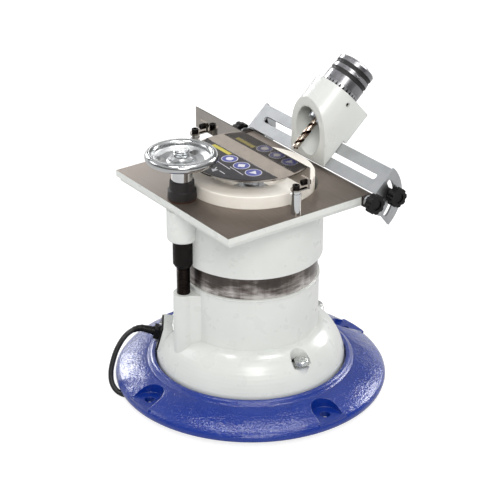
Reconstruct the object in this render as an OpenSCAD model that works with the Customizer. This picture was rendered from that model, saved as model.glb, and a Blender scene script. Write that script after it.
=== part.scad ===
// Planer knife grinder: a vertical motor turns a ring wheel through a table that is raised
// and lowered by a handwheel. A tilting rail on the back edge carries a drill holder.
// Millimetres, +Z up. The origin is on the floor under the middle of the wheel spindle.

/* [Base ring] */
// Outer radius of the cast base ring
base_r = 166.5; // [160:1:175]
// Radius of the ring's opening around the motor body
base_lip_r = 117.5; // [117:0.5:119]
// Radius of the hole in the ring's inner shelf
shelf_hole_r = 88; // [84:1:92]
// Thickness of the inner shelf that carries the body
shelf_t = 8; // [7:0.5:9]
// Height of the shelf's top above the ring's underside
shelf_h = 17; // [16:0.5:19]
// Radius of the circle of fixing holes
fix_pcr = 149; // [146:0.5:150]
// Radius of a fixing hole
fix_hole_r = 6; // [4:0.5:7]
// Radius of the scoop around a fixing hole
pocket_r = 17; // [15:0.5:18]
// Height of a rubber foot under the ring
foot_h = 8; // [8:0.5:12]
// Radius of a rubber foot
foot_r = 11; // [10:0.5:12]
// Radius of the circle of rubber feet
foot_pcr = 132; // [128:1:134]

/* [Motor body] */
// Gap between the bell's straight foot and the ring's lip
lip_gap = 2.2; // [1.5:0.1:4]
// Height of the bell's straight foot
bell_foot_h = 12.9; // [10:0.5:15]
// Height of the bell's rounded shoulder
bell_dome_h = 46; // [42:1:52]
// Radius of the painted cylinder above the bell
casing_r = 82.3; // [82:0.5:86]
// Height of the painted cylinder
casing_h = 67; // [60:1:72]
// Radius of the turned upper cylinder that guides the table
guide_r = 80.4; // [79.5:0.1:81]
// Height of the turned cylinder above the painted one
guide_h = 66; // [62:1:70]
// Inner radius of the motor body
body_bore_r = 74; // [72:0.5:74]
// Wall of the bell
bell_wall = 8; // [7:0.5:9]
// Radius from the spindle to each body bolt
bolt_pcr = 101; // [100:0.5:103]
// Radius of a body bolt
bolt_r = 5; // [4:0.5:5]
// Height of the spot faces under the bolt heads, above the shelf
bolt_seat_h = 38.5; // [36:0.5:40]

/* [Motor] */
// Radius of the spindle
spindle_r = 10; // [9:0.5:10]
// Outer radius of a spindle bearing
bearing_r = 23.5; // [22:0.5:24]
// Height of a spindle bearing
bearing_h = 14; // [12:1:14]
// Height of the stator core
stator_h = 62; // [55:1:65]
// Radius of the rotor
rotor_r = 41; // [38:0.5:42]

/* [Grinding wheel] */
// Radius of the ring wheel
wheel_r = 75; // [72:0.5:75]
// Radius of the wheel's recess
recess_r = 46; // [42:1:52]
// Height of the wheel
wheel_h = 40; // [36:1:40]
// How far the wheel stands above the table
wheel_proud = 13.3; // [10:0.1:16]

/* [Table] */
// Width of the table, left to right
table_w = 230; // [225:1:236]
// Depth of the table, front to back
table_d = 204.5; // [200:0.5:207]
// Distance from the spindle to the front edge
table_front = 112; // [110:0.5:114]
// How far the table's middle sits to the left of the spindle
table_shift = 4.5; // [2:0.5:6]
// Thickness of the table's top layer
table_t = 8; // [7:0.5:9]
// Thickness of the rim layer below it
rim_t = 5; // [4:0.5:6]
// How far the rim layer is set in from the table's edge
rim_inset = 3.5; // [2:0.5:5]
// Height of the table's top above the floor
table_top = 266.9; // [264:0.1:269]
// Radius of the wheel hole in the table
wheel_hole_r = 78.5; // [78:0.1:79]
// Outer radius of the skirt that slides on the body
skirt_r = 86.1; // [85:0.1:88]
// Height of the skirt below the rim layer
skirt_h = 73.5; // [68:0.5:76]

/* [Height column] */
// Distance of the column to the left of the spindle
column_x = 8.5; // [0:0.5:12]
// Distance of the column in front of the spindle
column_y = 92.4; // [92.2:0.1:93]
// Radius of the threaded rod
rod_r = 8; // [7:0.5:8]
// Pitch of the rod's thread
rod_pitch = 2; // [1.5:0.25:2.5]
// Radius of the black screw nut below its boss
nut_r = 12.1; // [11.8:0.1:14]
// Radius of the nut's neck inside the boss
nut_neck_r = 10.5; // [10:0.1:10.8]
// How far the nut hangs below its boss
nut_hang = 35.2; // [30:0.1:38]
// Radius of the table's column boss
boss_r = 18.7; // [17:0.1:19]
// Height of the table's column boss below the rim layer
boss_h = 39.2; // [37:0.1:42]
// Radius of the body's lower boss
low_boss_r = 12.3; // [12:0.1:14]
// How far the lower boss stops below the casing's top
low_boss_drop = 6.9; // [6:0.1:9]
// Radius of the handwheel's shaft
shaft_r = 12.35; // [12.2:0.05:12.5]
// Height of the rubber boot
boot_h = 23.6; // [20:0.1:26]
// Radius of the boot at its foot
boot_r = 17.2; // [16.8:0.1:17.5]
// Radius of the boot's top opening wall
boot_top_r = 14.3; // [14:0.1:15]
// Height of the handwheel's rim above the table
hand_rim_h = 52.7; // [50:0.1:56]
// Outer radius of the handwheel
hand_r = 42.7; // [40:0.1:45]
// Radius of the handwheel's round rim section
hand_rim_r = 5.4; // [4.8:0.1:5.8]

/* [Guard] */
// Distance of the right guard post from the table's right edge
post_in = 10; // [9:0.5:11]
// Distance of the posts in front of the spindle
post_front = 11; // [10:0.5:12]
// Radius of a guard post
post_r = 5.85; // [5:0.05:6]
// Height of a guard post
post_h = 29; // [27:0.5:31]
// Thickness of the bent guard sheet
guard_t = 1.5; // [1.2:0.1:2]
// Distance of the guard's upright wall behind the spindle
wall_back = 2; // [1.8:0.1:2.4]
// How far the guard's upright wall goes past the right post
wall_over = 7; // [6.5:0.5:8]
// How much nearer to the middle the left guard post stands
left_post_in = 10; // [9:0.5:11]
// Height of the guard's upright wall
wall_h = 26; // [24:0.5:28]
// Radius of the half round cover
cover_r = 73; // [70:0.5:76]

/* [Tilting rail] */
// Distance from the table's back edge in to the pivot
pivot_inset = 9.7; // [9:0.1:10.5]
// Depth of the pivot below the table's top
pivot_drop = 4.2; // [4:0.1:5]
// Slope of the rail at rest, in degrees
slope = 41.7; // [40:0.1:43]
// How far the rail goes past each side of the table
rail_over = 9; // [8.5:0.5:11]
// Thickness of the rail's sheet
rail_t = 3; // [2.5:0.1:3.4]
// Distance from the pivot to the rail's lower edge
rail_low = 11.1; // [10.5:0.1:13]
// Width of the rail
rail_w = 35.2; // [34:0.1:37]
// Height of the rail's face above the pivot
rail_up = 1.2; // [1:0.1:1.5]
// Distance from the rail's end to the end of its slot
slot_in = 19; // [18:0.5:24]
// Half of the slot's width
slot_r = 4; // [3.8:0.1:4.4]
// Radius of the end plates
ear_r = 48; // [46:0.5:50]
// Radius of the curved slot in an end plate
arc_r = 33; // [31:0.5:34]
// Radius of the studs of the star knobs
stud_r = 3; // [2.5:0.1:3]
// Radius of a star knob
knob_r = 11.7; // [10:0.1:12.5]
// Thickness of a side arm
arm_t = 5.7; // [5:0.1:6]

/* [Drill holder] */
// Offset of the drill axis from the spindle, to the left
holder_x = 7; // [0:0.5:12]
// Half of the holder's width
holder_half = 31.75; // [31:0.05:33]
// Height of the drill axis above the rail's face
axis_up = 27.5; // [27.2:0.1:28.5]
// Radius of the holder's bore
bore_r = 22.65; // [22:0.05:23]
// Distance from the pivot to the holder's rear face, along the rail's slope
holder_rear = 93; // [90:0.5:96]
// Distance of the holder's upright front face behind the pivot
holder_front = 6.2; // [6:0.1:8]
// Depth of the step that hooks over the rail's upper edge
fence_h = 5.7; // [5:0.1:6]

/* [Chuck and drill] */
// Radius of the chuck's sleeve
chuck_r = 25; // [24:0.1:25.5]
// Length of the chuck's sleeve
sleeve_l = 33; // [31:0.5:35]
// Thickness of the index ring's flange
index_t = 6; // [5.5:0.1:6.5]
// Number of notches in the index ring
index_n = 30; // [24:1:36]
// Radius of the chuck's inner body
core_r = 17; // [16:0.1:18]
// Radius of the drill
drill_r = 4; // [3:0.1:4.5]
// Distance of the drill's tip in front of the rail's lower edge
drill_reach = 5; // [4:0.5:7]

/* [Cable] */
// Diameter of the mains lead
cord_d = 6.5; // [6:0.1:7]
// Direction of the cable entry around the body, in degrees
gland_az = 235; // [234:0.5:236]
// Width of the cable plate
gland_plate_w = 36; // [32:1:40]
// Height of the cable plate
gland_plate_h = 30; // [28:1:34]

/* [Hidden] */
fit = 0.06;            // radial clearance of a running fit
gap = 0.3;             // clearance between loose neighbours
press = 0.02;          // radial clearance of a fixed round fit
$fn = 96;
fine = 144;
eps = 0.01;

base_z = foot_h;
shelf_z = base_z + shelf_h;
bell_r = base_lip_r - lip_gap;
dome_z = shelf_z + bell_foot_h;
dome_in_r = casing_r - 1.5;
shoulder_z = dome_z + bell_dome_h;
casing_z = shoulder_z + casing_h;
guide_z = casing_z + guide_h;
bolt_az = [0, 90, 180];
bolt_seat_z = shelf_z + bolt_seat_h;
seat_r = 12.6;
cover_t = 1.5;
cover_z = shelf_z - shelf_t - cover_t;
cover_screw_pcr = shelf_hole_r + 4.5;
ledge_z = shoulder_z + 10;
ledge_r = body_bore_r - 4;

wheel_top = table_top + wheel_proud;
wheel_z = wheel_top - wheel_h;
wheel_floor = 12;
flange_t = 7;
flange_z = wheel_z - flange_t;
rim_z = table_top - table_t - rim_t;
skirt_z = rim_z - skirt_h;
table_back = table_d - table_front;
cx = -table_shift;

boss_z = rim_z - boss_h;
nut_z = boss_z - nut_hang;
low_boss_z = casing_z - low_boss_drop;
washer_t = 1.5;
shaft_z = table_top + washer_t;
hand_z = table_top + hand_rim_h;
hub_drop = 11;
hub_rise = 9;

collar_h = 2;
collar_r = boot_r - 2.7;
rod_seat = 34;          // length of the rod inside the lower boss
nut_floor = 10;         // solid end of the nut below the table's top
rod_free = 17;          // room above the rod inside the nut

post_half = table_w / 2 - post_in;
wall_half = post_half + wall_over;
post_x = [cx - post_half + left_post_in, cx + post_half];
post_z = table_top + post_h;
wall_y = wall_back;
clip_y = wall_y - guard_t;

pivot_y = table_back - pivot_inset;
pivot_z = table_top - pivot_drop;
arm_in_x = table_w / 2;
ear_in_x = arm_in_x + arm_t + gap;
rail_half = table_w / 2 + rail_over;
slot_half = rail_half - slot_in;
rail_high = rail_low + rail_w;
slot_v = rail_low + 0.5 * rail_w;
axis_n = rail_up + axis_up;
holder_n = rail_up + gap;
fence_v = rail_high + 2.8;
arm_screw_y = 6.5;
arm_screw_r = 1.6;
slot_half_w = stud_r + 0.4;
arc_ends = [-11, -84];

core_z = 50;
flange_w = holder_rear + gap;
sleeve_w = flange_w + index_t + gap;
sleeve_end = sleeve_w + sleeve_l;
tip_w = rail_low - drill_reach;

// The lead comes out of the cable plate, falls to the floor outside the ring, passes under
// the ring between its feet and lies in a coil behind the machine.
gland_r = bell_r - 5.3;
gland_z = base_z + 56;
gland_tilt = 15;
gland_block = 8.5;
gland_plate_t = 2;
gland_out = gland_plate_t + gland_block;
exit_r = gland_r + gland_out * cos(gland_tilt);
exit_z = gland_z + gland_out * sin(gland_tilt);
exit_p = [exit_r * cos(gland_az), exit_r * sin(gland_az), exit_z];
cord_r = cord_d / 2;
coil_x = -178;
coil_y = 130;
coil_turns = 6;
coil_az = 53;
coil_r0 = 45.5;
coil_pitch = 7.1;
coil_dir = [-sin(coil_az), cos(coil_az), 0];
coil_start = [coil_x + coil_r0 * cos(coil_az), coil_y + coil_r0 * sin(coil_az), cord_r]
    - coil_dir * cord_d;
route = [[-78, -111, 70], [-82, -122, 67], [-83, -132, 60], [-82, -142, 49], [-79, -150, 37],
    [-75, -156, 25], [-69, -159, 14], [-61, -158, 6.5], [-52, -154, 3.5], [-42, -147, 3.3],
    [-33, -137, 3.3], [-26, -124, 3.3], [-22, -108, 3.3], [-22, -90, 3.3], [-23, -70, 3.3],
    [-24, -50, 3.3], [-24, -30, 3.3], [-24, -10, 3.3], [-25, 10, 3.3], [-28, 30, 3.3],
    [-34, 50, 3.3], [-43, 70, 3.3], [-55, 88, 3.3], [-70, 104, 3.3], [-87, 118.5, 3.3],
    [-103, 130.6, 3.3], [-119, 142.6, 3.3]];
lead_in = coil_start - coil_dir * 2 * cord_d;
exit_dir = [cos(gland_tilt) * cos(gland_az), cos(gland_tilt) * sin(gland_az), sin(gland_tilt)];
cord_path = concat([exit_p, exit_p + exit_dir * cord_d], route, [lead_in, coil_start]);

// A superellipse quarter from the foot of the bell up to its shoulder
function dome(r_in, r_out, z0, h, n, stop_r) = [for (i = [0 : n])
    let (a = 90 * i / n, r = r_in + (r_out - r_in) * pow(cos(a), 1.235))
    if (r > stop_r) [r, z0 + h * pow(sin(a), 1.235)]];

// Height of a dome's outline at a given radius
function dome_top(r_in, r_out, z0, h, r) =
    z0 + h * pow(1 - pow((r - r_in) / (r_out - r_in), 1.62), 1 / 1.62);

module ring(r_out, r_in, h) {
    difference() {
        cylinder(r = r_out, h = h);
        translate([0, 0, -1]) cylinder(r = r_in, h = h + 2);
    }
}

module around(n, r, first = 0) {
    for (i = [0 : n - 1]) rotate([0, 0, first + i * 360 / n]) translate([r, 0, 0]) children();
}

module at_bolts() {
    for (a = bolt_az) rotate([0, 0, a]) translate([bolt_pcr, 0, 0]) children();
}

module hex(flats, h) {
    rotate([0, 0, 30]) cylinder(r = flats / sqrt(3), h = h, $fn = 6);
}

module socket_screw(r, length, head_r, head_h) {
    difference() {
        union() {
            translate([0, 0, -length]) cylinder(r = r, h = length + eps, $fn = 32);
            cylinder(r = head_r, h = head_h, $fn = 48);
        }
        translate([0, 0, head_h * 0.45]) hex(head_r * 0.95, head_h);
    }
}

// Base ring

module base_outline() {
    b = base_z;
    lip = base_lip_r;
    polygon([[shelf_hole_r, shelf_z - shelf_t], [lip + 1.5, shelf_z - shelf_t], [lip + 4.5, b + 17],
        [lip + 10.5, b + 17.5], [base_r - 24.5, b + 15], [base_r - 14.5, b + 10.5],
        [base_r - 9.5, b + 5], [base_r - 9.5, b], [base_r - 3, b], [base_r - 0.9, b + 1.5],
        [base_r, b + 4.5], [base_r - 0.3, b + 7.2], [base_r - 2.2, b + 10], [base_r - 5, b + 12.4],
        [base_r - 9, b + 14.8], [base_r - 14, b + 17.4], [base_r - 20, b + 20],
        [base_r - 27, b + 22.6], [base_r - 33, b + 24.3], [base_r - 37, b + 25.2],
        [lip + 9.3, b + 25.4], [lip + 7.4, b + 27], [lip + 5.5, b + 29.3], [lip + 3.8, b + 30.3],
        [lip + 1, b + 30.3], [lip, b + 29.3], [lip, shelf_z], [shelf_hole_r, shelf_z]]);
}

module base_ring() {
    floor_z = base_z + 12;
    color("#2f479a") difference() {
        union() {
            rotate_extrude($fn = fine) base_outline();
            // floors of the pockets, and their walls where the ring is hollow
            intersection() {
                around(4, fix_pcr) translate([0, 0, floor_z - 7]) {
                    cylinder(r = pocket_r + 3, h = 12);
                    translate([0, -pocket_r - 3, 0]) cube([base_r - fix_pcr + 1, 2 * pocket_r + 6, 12]);
                }
                translate([0, 0, base_z]) union() {
                    cylinder(r = base_r - 1, h = 12, $fn = fine);
                    cylinder(r = base_r - 14.5, h = 17, $fn = fine);
                }
            }
            around(4, foot_pcr, 45) translate([0, 0, base_z]) cylinder(r = foot_r + 1, h = 20);
        }
        around(4, fix_pcr) translate([0, 0, floor_z]) {
            cylinder(r = pocket_r, h = 40);
            translate([0, -pocket_r, 0]) cube([base_r - fix_pcr + 1, 2 * pocket_r, 40]);
        }
        around(4, fix_pcr) translate([0, 0, -1]) cylinder(r = fix_hole_r, h = 60, $fn = 48);
        around(4, foot_pcr, 45) translate([0, 0, base_z - 1]) cylinder(r = 2.5, h = 13, $fn = 32);
        at_bolts() cylinder(r = bolt_r + press, h = 60, $fn = 32);
        around(3, cover_screw_pcr, 60) cylinder(r = 2 + press, h = 60, $fn = 32);
    }
}

module rubber_feet() {
    color("#222222") around(4, foot_pcr, 45) difference() {
        rotate_extrude() polygon([[2.6, 0], [foot_r - 1.5, 0], [foot_r, 2], [foot_r - 1, foot_h],
            [2.6, foot_h]]);
        translate([0, 0, -1]) cylinder(r = 5.2, h = 4.5);
    }
}

module foot_screws() {
    color("#b9bcc0") around(4, foot_pcr, 45) translate([0, 0, 3.5]) rotate([180, 0, 0])
        socket_screw(2.45, foot_h + 2, 4.5, 2.6);
}

// Motor body

module body_outer() {
    c = casing_r;
    g = guide_r;
    polygon(concat([[0, shelf_z]], [[bell_r, shelf_z]],
        dome(dome_in_r, bell_r, dome_z, bell_dome_h, 14, c),
        [[c, dome_top(dome_in_r, bell_r, dome_z, bell_dome_h, c)], [c, casing_z - 2.6],
        [c + 0.8, casing_z - 2], [c + 0.8, casing_z - 0.6], [c + 0.2, casing_z], [g, casing_z],
        [g, guide_z - 1], [g - 1, guide_z], [0, guide_z]]));
}

module body_inner() {
    inner_r = bell_r - bell_wall;
    polygon(concat([[0, shelf_z - 1], [inner_r - 9, shelf_z - 1], [inner_r - 9, shelf_z + 9],
        [inner_r, shelf_z + 9]], dome(ledge_r, inner_r, dome_z, bell_dome_h - bell_wall, 10, ledge_r),
        [[ledge_r, dome_z + bell_dome_h - bell_wall], [ledge_r, ledge_z], [body_bore_r, ledge_z],
        [body_bore_r, guide_z + 1], [0, guide_z + 1]]));
}

module at_gland() {
    rotate([0, 0, gland_az]) translate([gland_r, 0, gland_z]) rotate([0, 90 - gland_tilt, 0])
        children();
}

switch_az = 125;
switch_z = casing_z - 34;
switch_w = 34;
switch_h = 46;
module at_switch() {
    rotate([0, 0, switch_az]) translate([casing_r + 4, 0, switch_z]) rotate([0, 90, 0]) children();
}

module body_shell() {
    low_z = shelf_z + 25;
    boss_l = low_boss_z - low_z;
    difference() {
        union() {
            rotate_extrude($fn = fine) body_outer();
            translate([-column_x, -column_y, low_z]) cylinder(r = low_boss_r, h = boss_l);
            translate([0, 0, low_z]) linear_extrude(boss_l)
                polygon([[-column_x - low_boss_r, -column_y], [-column_x + low_boss_r, -column_y],
                    [-column_x + 31, -68], [-column_x - 31, -68]]);
            intersection() {
                at_gland() translate([-gland_plate_h / 2 - 1, -gland_plate_w / 2 - 1, -22])
                    cube([gland_plate_h + 2, gland_plate_w + 2, 22]);
                translate([0, 0, shelf_z]) cylinder(r = bell_r + 4, h = 90);
            }
            at_switch() translate([-switch_h / 2, -switch_w / 2, -11])
                cube([switch_h, switch_w, 11]);
        }
        rotate_extrude($fn = fine) body_inner();
        at_bolts() translate([0, 0, bolt_seat_z]) cylinder(r = seat_r, h = 60);
    }
}

module body_casting() {
    color("#d8dbd5") difference() {
        union() {
            body_shell();
            at_bolts() translate([-1, 0, shelf_z]) cylinder(r = 10, h = bolt_seat_h);
        }
        at_bolts() cylinder(r = bolt_r + gap, h = bolt_seat_z + seat_r, $fn = 48);
        translate([-column_x, -column_y, low_boss_z - rod_seat - 2])
            cylinder(r = rod_r + press, h = 60);
        at_gland() translate([0, 0, -40]) cylinder(r = 5, h = 41, $fn = 32);
        at_gland() for (s = [-1, 1]) translate([s * 11, 0, -8]) cylinder(r = 1.8, h = 9, $fn = 32);
        at_switch() translate([-16, -11, -30]) cube([32, 22, 31]);
    }
}

module body_bolts() {
    length = bolt_seat_h + shelf_t;
    color("#b9bcc0") at_bolts() translate([0, 0, bolt_seat_z + 2]) {
        translate([0, 0, -length - 2]) cylinder(r = bolt_r, h = length + 2 + eps, $fn = 48);
        intersection() {
            hex(16, 6.4);
            rotate_extrude() polygon([[0, 0], [9.6, 0], [9.6, 5.2], [7.6, 6.4], [0, 6.4]]);
        }
    }
}

module bolt_washers() {
    color("#b9bcc0") at_bolts() translate([0, 0, bolt_seat_z]) ring(10.5, bolt_r + 0.2, 2);
}

module bottom_cover() {
    color("#4a4d50") difference() {
        translate([0, 0, cover_z]) cylinder(r = cover_screw_pcr + 2.6, h = cover_t);
        around(3, cover_screw_pcr, 60) cylinder(r = 2.2, h = 60, $fn = 32);
        around(8, 45) cylinder(r = 5, h = 60, $fn = 32);
    }
    color("#b9bcc0") around(3, cover_screw_pcr, 60) translate([0, 0, cover_z - 2]) {
        cylinder(r = 2, h = shelf_t + cover_t + 2, $fn = 32);
        cylinder(r = 3.6, h = 2, $fn = 32);
    }
}

// Motor parts

lower_plate_t = 8;
upper_plate_t = 4;
lower_bearing_z = ledge_z + 1;
stator_z = ledge_z + 22;
upper_hub_z = guide_z - 15;

module lower_bearing_plate() {
    color("#9a9d9f") difference() {
        union() {
            translate([0, 0, ledge_z]) cylinder(r = body_bore_r - press, h = lower_plate_t);
            translate([0, 0, ledge_z]) cylinder(r = bearing_r + 6, h = bearing_h + 1);
        }
        translate([0, 0, lower_bearing_z]) cylinder(r = bearing_r + press, h = 40);
        translate([0, 0, ledge_z - 1]) cylinder(r = spindle_r + 4, h = 40);
        around(6, 52) translate([0, 0, ledge_z - 1]) cylinder(r = 11, h = 40);
    }
}

module bearing(z) {
    color("#c9ccd0") translate([0, 0, z]) difference() {
        ring(bearing_r, spindle_r + fit, bearing_h);
        for (top = [0, 1]) translate([0, 0, top * (bearing_h - 0.8) - (1 - top) * 0.2])
            ring(bearing_r - 4, spindle_r + 4, 1);
    }
}

module lower_bearing() {
    bearing(lower_bearing_z);
}

module upper_bearing_plate() {
    color("#9a9d9f") difference() {
        union() {
            translate([0, 0, guide_z]) cylinder(r = guide_r - 1.4, h = upper_plate_t);
            translate([0, 0, upper_hub_z]) cylinder(r = body_bore_r - 6, h = guide_z - upper_hub_z);
        }
        translate([0, 0, upper_hub_z + 1]) cylinder(r = bearing_r + press, h = bearing_h);
        translate([0, 0, upper_hub_z - 1]) cylinder(r = spindle_r + 4, h = 60);
    }
}

module upper_bearing() {
    bearing(upper_hub_z + 1);
}

module stator_core() {
    color("#7c7f83") translate([0, 0, stator_z]) difference() {
        ring(body_bore_r - press, rotor_r + 0.6, stator_h);
        around(24, rotor_r + 9) translate([0, 0, -1]) cylinder(r = 3.4, h = stator_h + 2, $fn = 24);
    }
}

module stator_windings() {
    color("#b5622e") for (z = [stator_z - 9, stator_z + stator_h])
        translate([0, 0, z]) rotate_extrude() translate([rotor_r + 15, 4.5])
            polygon([for (a = [0 : 20 : 340]) [11 * cos(a), 4.5 * sin(a)]]);
}

module rotor() {
    color("#8a8d91") translate([0, 0, stator_z]) ring(rotor_r, spindle_r + press, stator_h);
}

module spindle() {
    nut_seat = wheel_z + wheel_floor + 2;
    color("#c9ccd0") difference() {
        rotate_extrude() polygon([[0, ledge_z - 22], [spindle_r - 1, ledge_z - 22],
            [spindle_r, ledge_z - 21], [spindle_r, nut_seat + 11], [spindle_r - 1, nut_seat + 12],
            [0, nut_seat + 12]]);
        translate([0, 0, nut_seat + 9]) cylinder(r = 2.5, h = 5, $fn = 32);
    }
}

module cooling_fan() {
    color("#3a3d40") translate([0, 0, ledge_z - 18]) {
        ring(spindle_r + 5, spindle_r + press, 14);
        around(8, spindle_r + 3) translate([0, -1, 0]) cube([bearing_r + bearing_h, 2, 13]);
    }
}

module run_capacitor() {
    color("#e2e2de") translate([-50, 32, shelf_z - shelf_t + gap]) {
        cylinder(r = 17, h = 34);
        for (s = [-1, 1]) translate([s * 6, -1.5, 33.9]) cube([2, 3, 6]);
    }
}

// Grinding wheel

module wheel_flange() {
    color("#9a9d9f") translate([0, 0, flange_z]) {
        ring(wheel_r - 8, spindle_r + press, flange_t);
        translate([0, 0, upper_plate_t + guide_z + gap - flange_z])
            ring(spindle_r + 5, spindle_r + press, flange_z - guide_z - upper_plate_t - gap + eps);
    }
}

module grinding_wheel() {
    color("#efeae0") translate([0, 0, wheel_z]) difference() {
        rotate_extrude($fn = fine) polygon([[0, 0], [wheel_r - 0.8, 0], [wheel_r, 0.8],
            [wheel_r, wheel_h - 0.8], [wheel_r - 0.8, wheel_h], [recess_r + 0.5, wheel_h],
            [recess_r, wheel_h - 0.5], [recess_r - 3, wheel_floor + 3], [recess_r - 6, wheel_floor],
            [0, wheel_floor]]);
        translate([0, 0, -1]) cylinder(r = spindle_r + press, h = wheel_floor + 2);
    }
}

module clamp_washer() {
    color("#b9bcc0") translate([0, 0, wheel_z + wheel_floor]) ring(26, spindle_r + press, 2);
}

module spindle_nut() {
    color("#b9bcc0") translate([0, 0, wheel_z + wheel_floor + 2]) difference() {
        hex(30, 10);
        translate([0, 0, -1]) cylinder(r = spindle_r + press, h = 12);
    }
}

// Cable

module cable_plate() {
    color("#222222") at_gland() difference() {
        translate([-gland_plate_h / 2, -gland_plate_w / 2, 0])
            cube([gland_plate_h, gland_plate_w, gland_plate_t]);
        translate([0, 0, -1]) cylinder(r = 5, h = 5, $fn = 32);
        for (s = [-1, 1]) translate([s * 11, 0, -1]) cylinder(r = 2, h = 5, $fn = 32);
    }
}

module cable_plate_screws() {
    color("#c9ccd0") at_gland() for (s = [-1, 1]) translate([s * 11, 0, gland_plate_t]) {
        translate([0, 0, -8]) cylinder(r = 1.7, h = 8, $fn = 32);
        difference() {
            cylinder(r = 3.2, h = 2.4, $fn = 32);
            translate([-4, -0.5, 1.4]) cube([8, 1, 2]);
        }
    }
}

module cable_gland() {
    color("#1c1c1c") at_gland() {
        translate([-6.5, -8, gland_plate_t]) cube([13, 16, gland_block - 2]);
        translate([0, 0, gland_plate_t]) cylinder(r = 5.8, h = gland_block);
        translate([0, 0, gland_plate_t - 8]) cylinder(r = 4.7, h = 8.1, $fn = 32);
    }
}

function unit(v) = v / norm(v);
function turned(u, a, b) = let (w = u - b * (u * b)) unit(w);
function frames(p, i = 0, u = [0, 0, 1]) = i == len(p) ? [] :
    let (d = unit(p[min(i + 1, len(p) - 1)] - p[max(i - 1, 0)]), v = turned(u, u, d))
    concat([[v, cross(d, v)]], frames(p, i + 1, v));

module swept(path, r, sides) {
    f = frames(path);
    n = len(path);
    points = [for (i = [0 : n - 1]) for (k = [0 : sides - 1]) let (a = 360 * k / sides)
        path[i] + r * (f[i][0] * cos(a) + f[i][1] * sin(a))];
    walls = [for (i = [0 : n - 2]) for (k = [0 : sides - 1]) let (m = (k + 1) % sides, q = i * sides)
        for (t = [[q + k, q + sides + m, q + m], [q + k, q + sides + k, q + sides + m]]) t];
    first = [for (k = [1 : sides - 2]) [0, k, k + 1]];
    last = (n - 1) * sides;
    end = [for (k = [1 : sides - 2]) [last, last + k + 1, last + k]];
    polyhedron(points, concat(walls, first, end));
}

module power_cord() {
    color("#1c1c1c") swept(cord_path, cord_r, 8);
}

function coil_point(u) = let (in = u < coil_turns / 2 ? u : coil_turns - u, a = coil_az + 360 * u,
    c = (u - coil_turns / 2) / 0.5 + 0.5, s = min(1, max(0, c)),
    r = coil_r0 - coil_pitch * in)
    [coil_x + r * cos(a), coil_y + r * sin(a), cord_r + coil_pitch * (3 * s * s - 2 * s * s * s)];
coil_rings = 24;
coil_tail = 32;
coil_path = concat([coil_start], [for (i = [0 : coil_turns * coil_rings]) coil_point(i / coil_rings)],
    [coil_point(coil_turns) + coil_dir * coil_tail]);
plug_at = coil_point(coil_turns) + coil_dir * coil_tail;

module cord_coil() {
    color("#1c1c1c") swept(coil_path, cord_r, 6);
}

module power_plug() {
    color("#1c1c1c") translate(plug_at) rotate([0, 0, coil_az + 90]) {
        rotate([0, 90, 0]) rotate_extrude() polygon([[0, 0], [cord_r + 0.6, 0], [cord_r + 2.2, 20],
            [0, 20]]);
        difference() {
            translate([20 - eps, 0, -plug_at[2]]) linear_extrude(2 * plug_at[2])
                polygon([[0, -9], [6, -14], [24, -17], [30, -17], [30, 17], [24, 17], [6, 14], [0, 9]]);
            for (s = [-1, 1]) translate([6, s * 21, -20]) cylinder(r = 7, h = 60);
        }
    }
    color("#d0c9a0") translate(plug_at) rotate([0, 0, coil_az + 90])
        for (s = [-1, 1]) translate([50 - eps, s * 9.5, 0]) rotate([0, 90, 0])
            cylinder(r = 2.4, h = 19, $fn = 32);
}

// Switch

module switch_box() {
    color("#1c1c1c") at_switch() difference() {
        union() {
            translate([-switch_h / 2, -switch_w / 2, 0]) cube([switch_h, switch_w, 3]);
            translate([-15.7, -10.7, -11.5]) cube([31.4, 21.4, 12]);
        }
        translate([-13.2, -8.2, -9.5]) cube([26.4, 16.4, 16]);
    }
}

module switch_rocker() {
    color("#b02020") at_switch() rotate([0, -9, 0]) rotate([90, 0, 0])
        translate([0, 0, -7.8]) linear_extrude(15.6)
            polygon([[-11.6, 0], [-11.6, 5.8], [0, 3.6], [11.6, 5.8], [11.6, 0], [3, -5], [-3, -5]]);
}

// Height column

module elevating_screw() {
    teeth = floor((table_top - nut_floor - rod_free - low_boss_z) / rod_pitch);
    turn = [[rod_r - 1.1, 0.25], [rod_r - 1.1, 0.4], [rod_r, 0.9], [rod_r, 1.1]];
    thread_z = low_boss_z + 0.5;
    top_z = thread_z + rod_pitch * (teeth + 1);
    color("#2a2a2c") translate([-column_x, -column_y, 0]) rotate_extrude() polygon(concat(
        [[0, low_boss_z - rod_seat - 1], [rod_r - 1, low_boss_z - rod_seat - 1],
            [rod_r, low_boss_z - rod_seat], [rod_r, thread_z]],
        [for (i = [0 : teeth - 1]) for (p = turn) [p[0], thread_z + rod_pitch * (i + p[1])]],
        [[rod_r - 1.5, top_z], [0, top_z]]));
}

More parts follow.
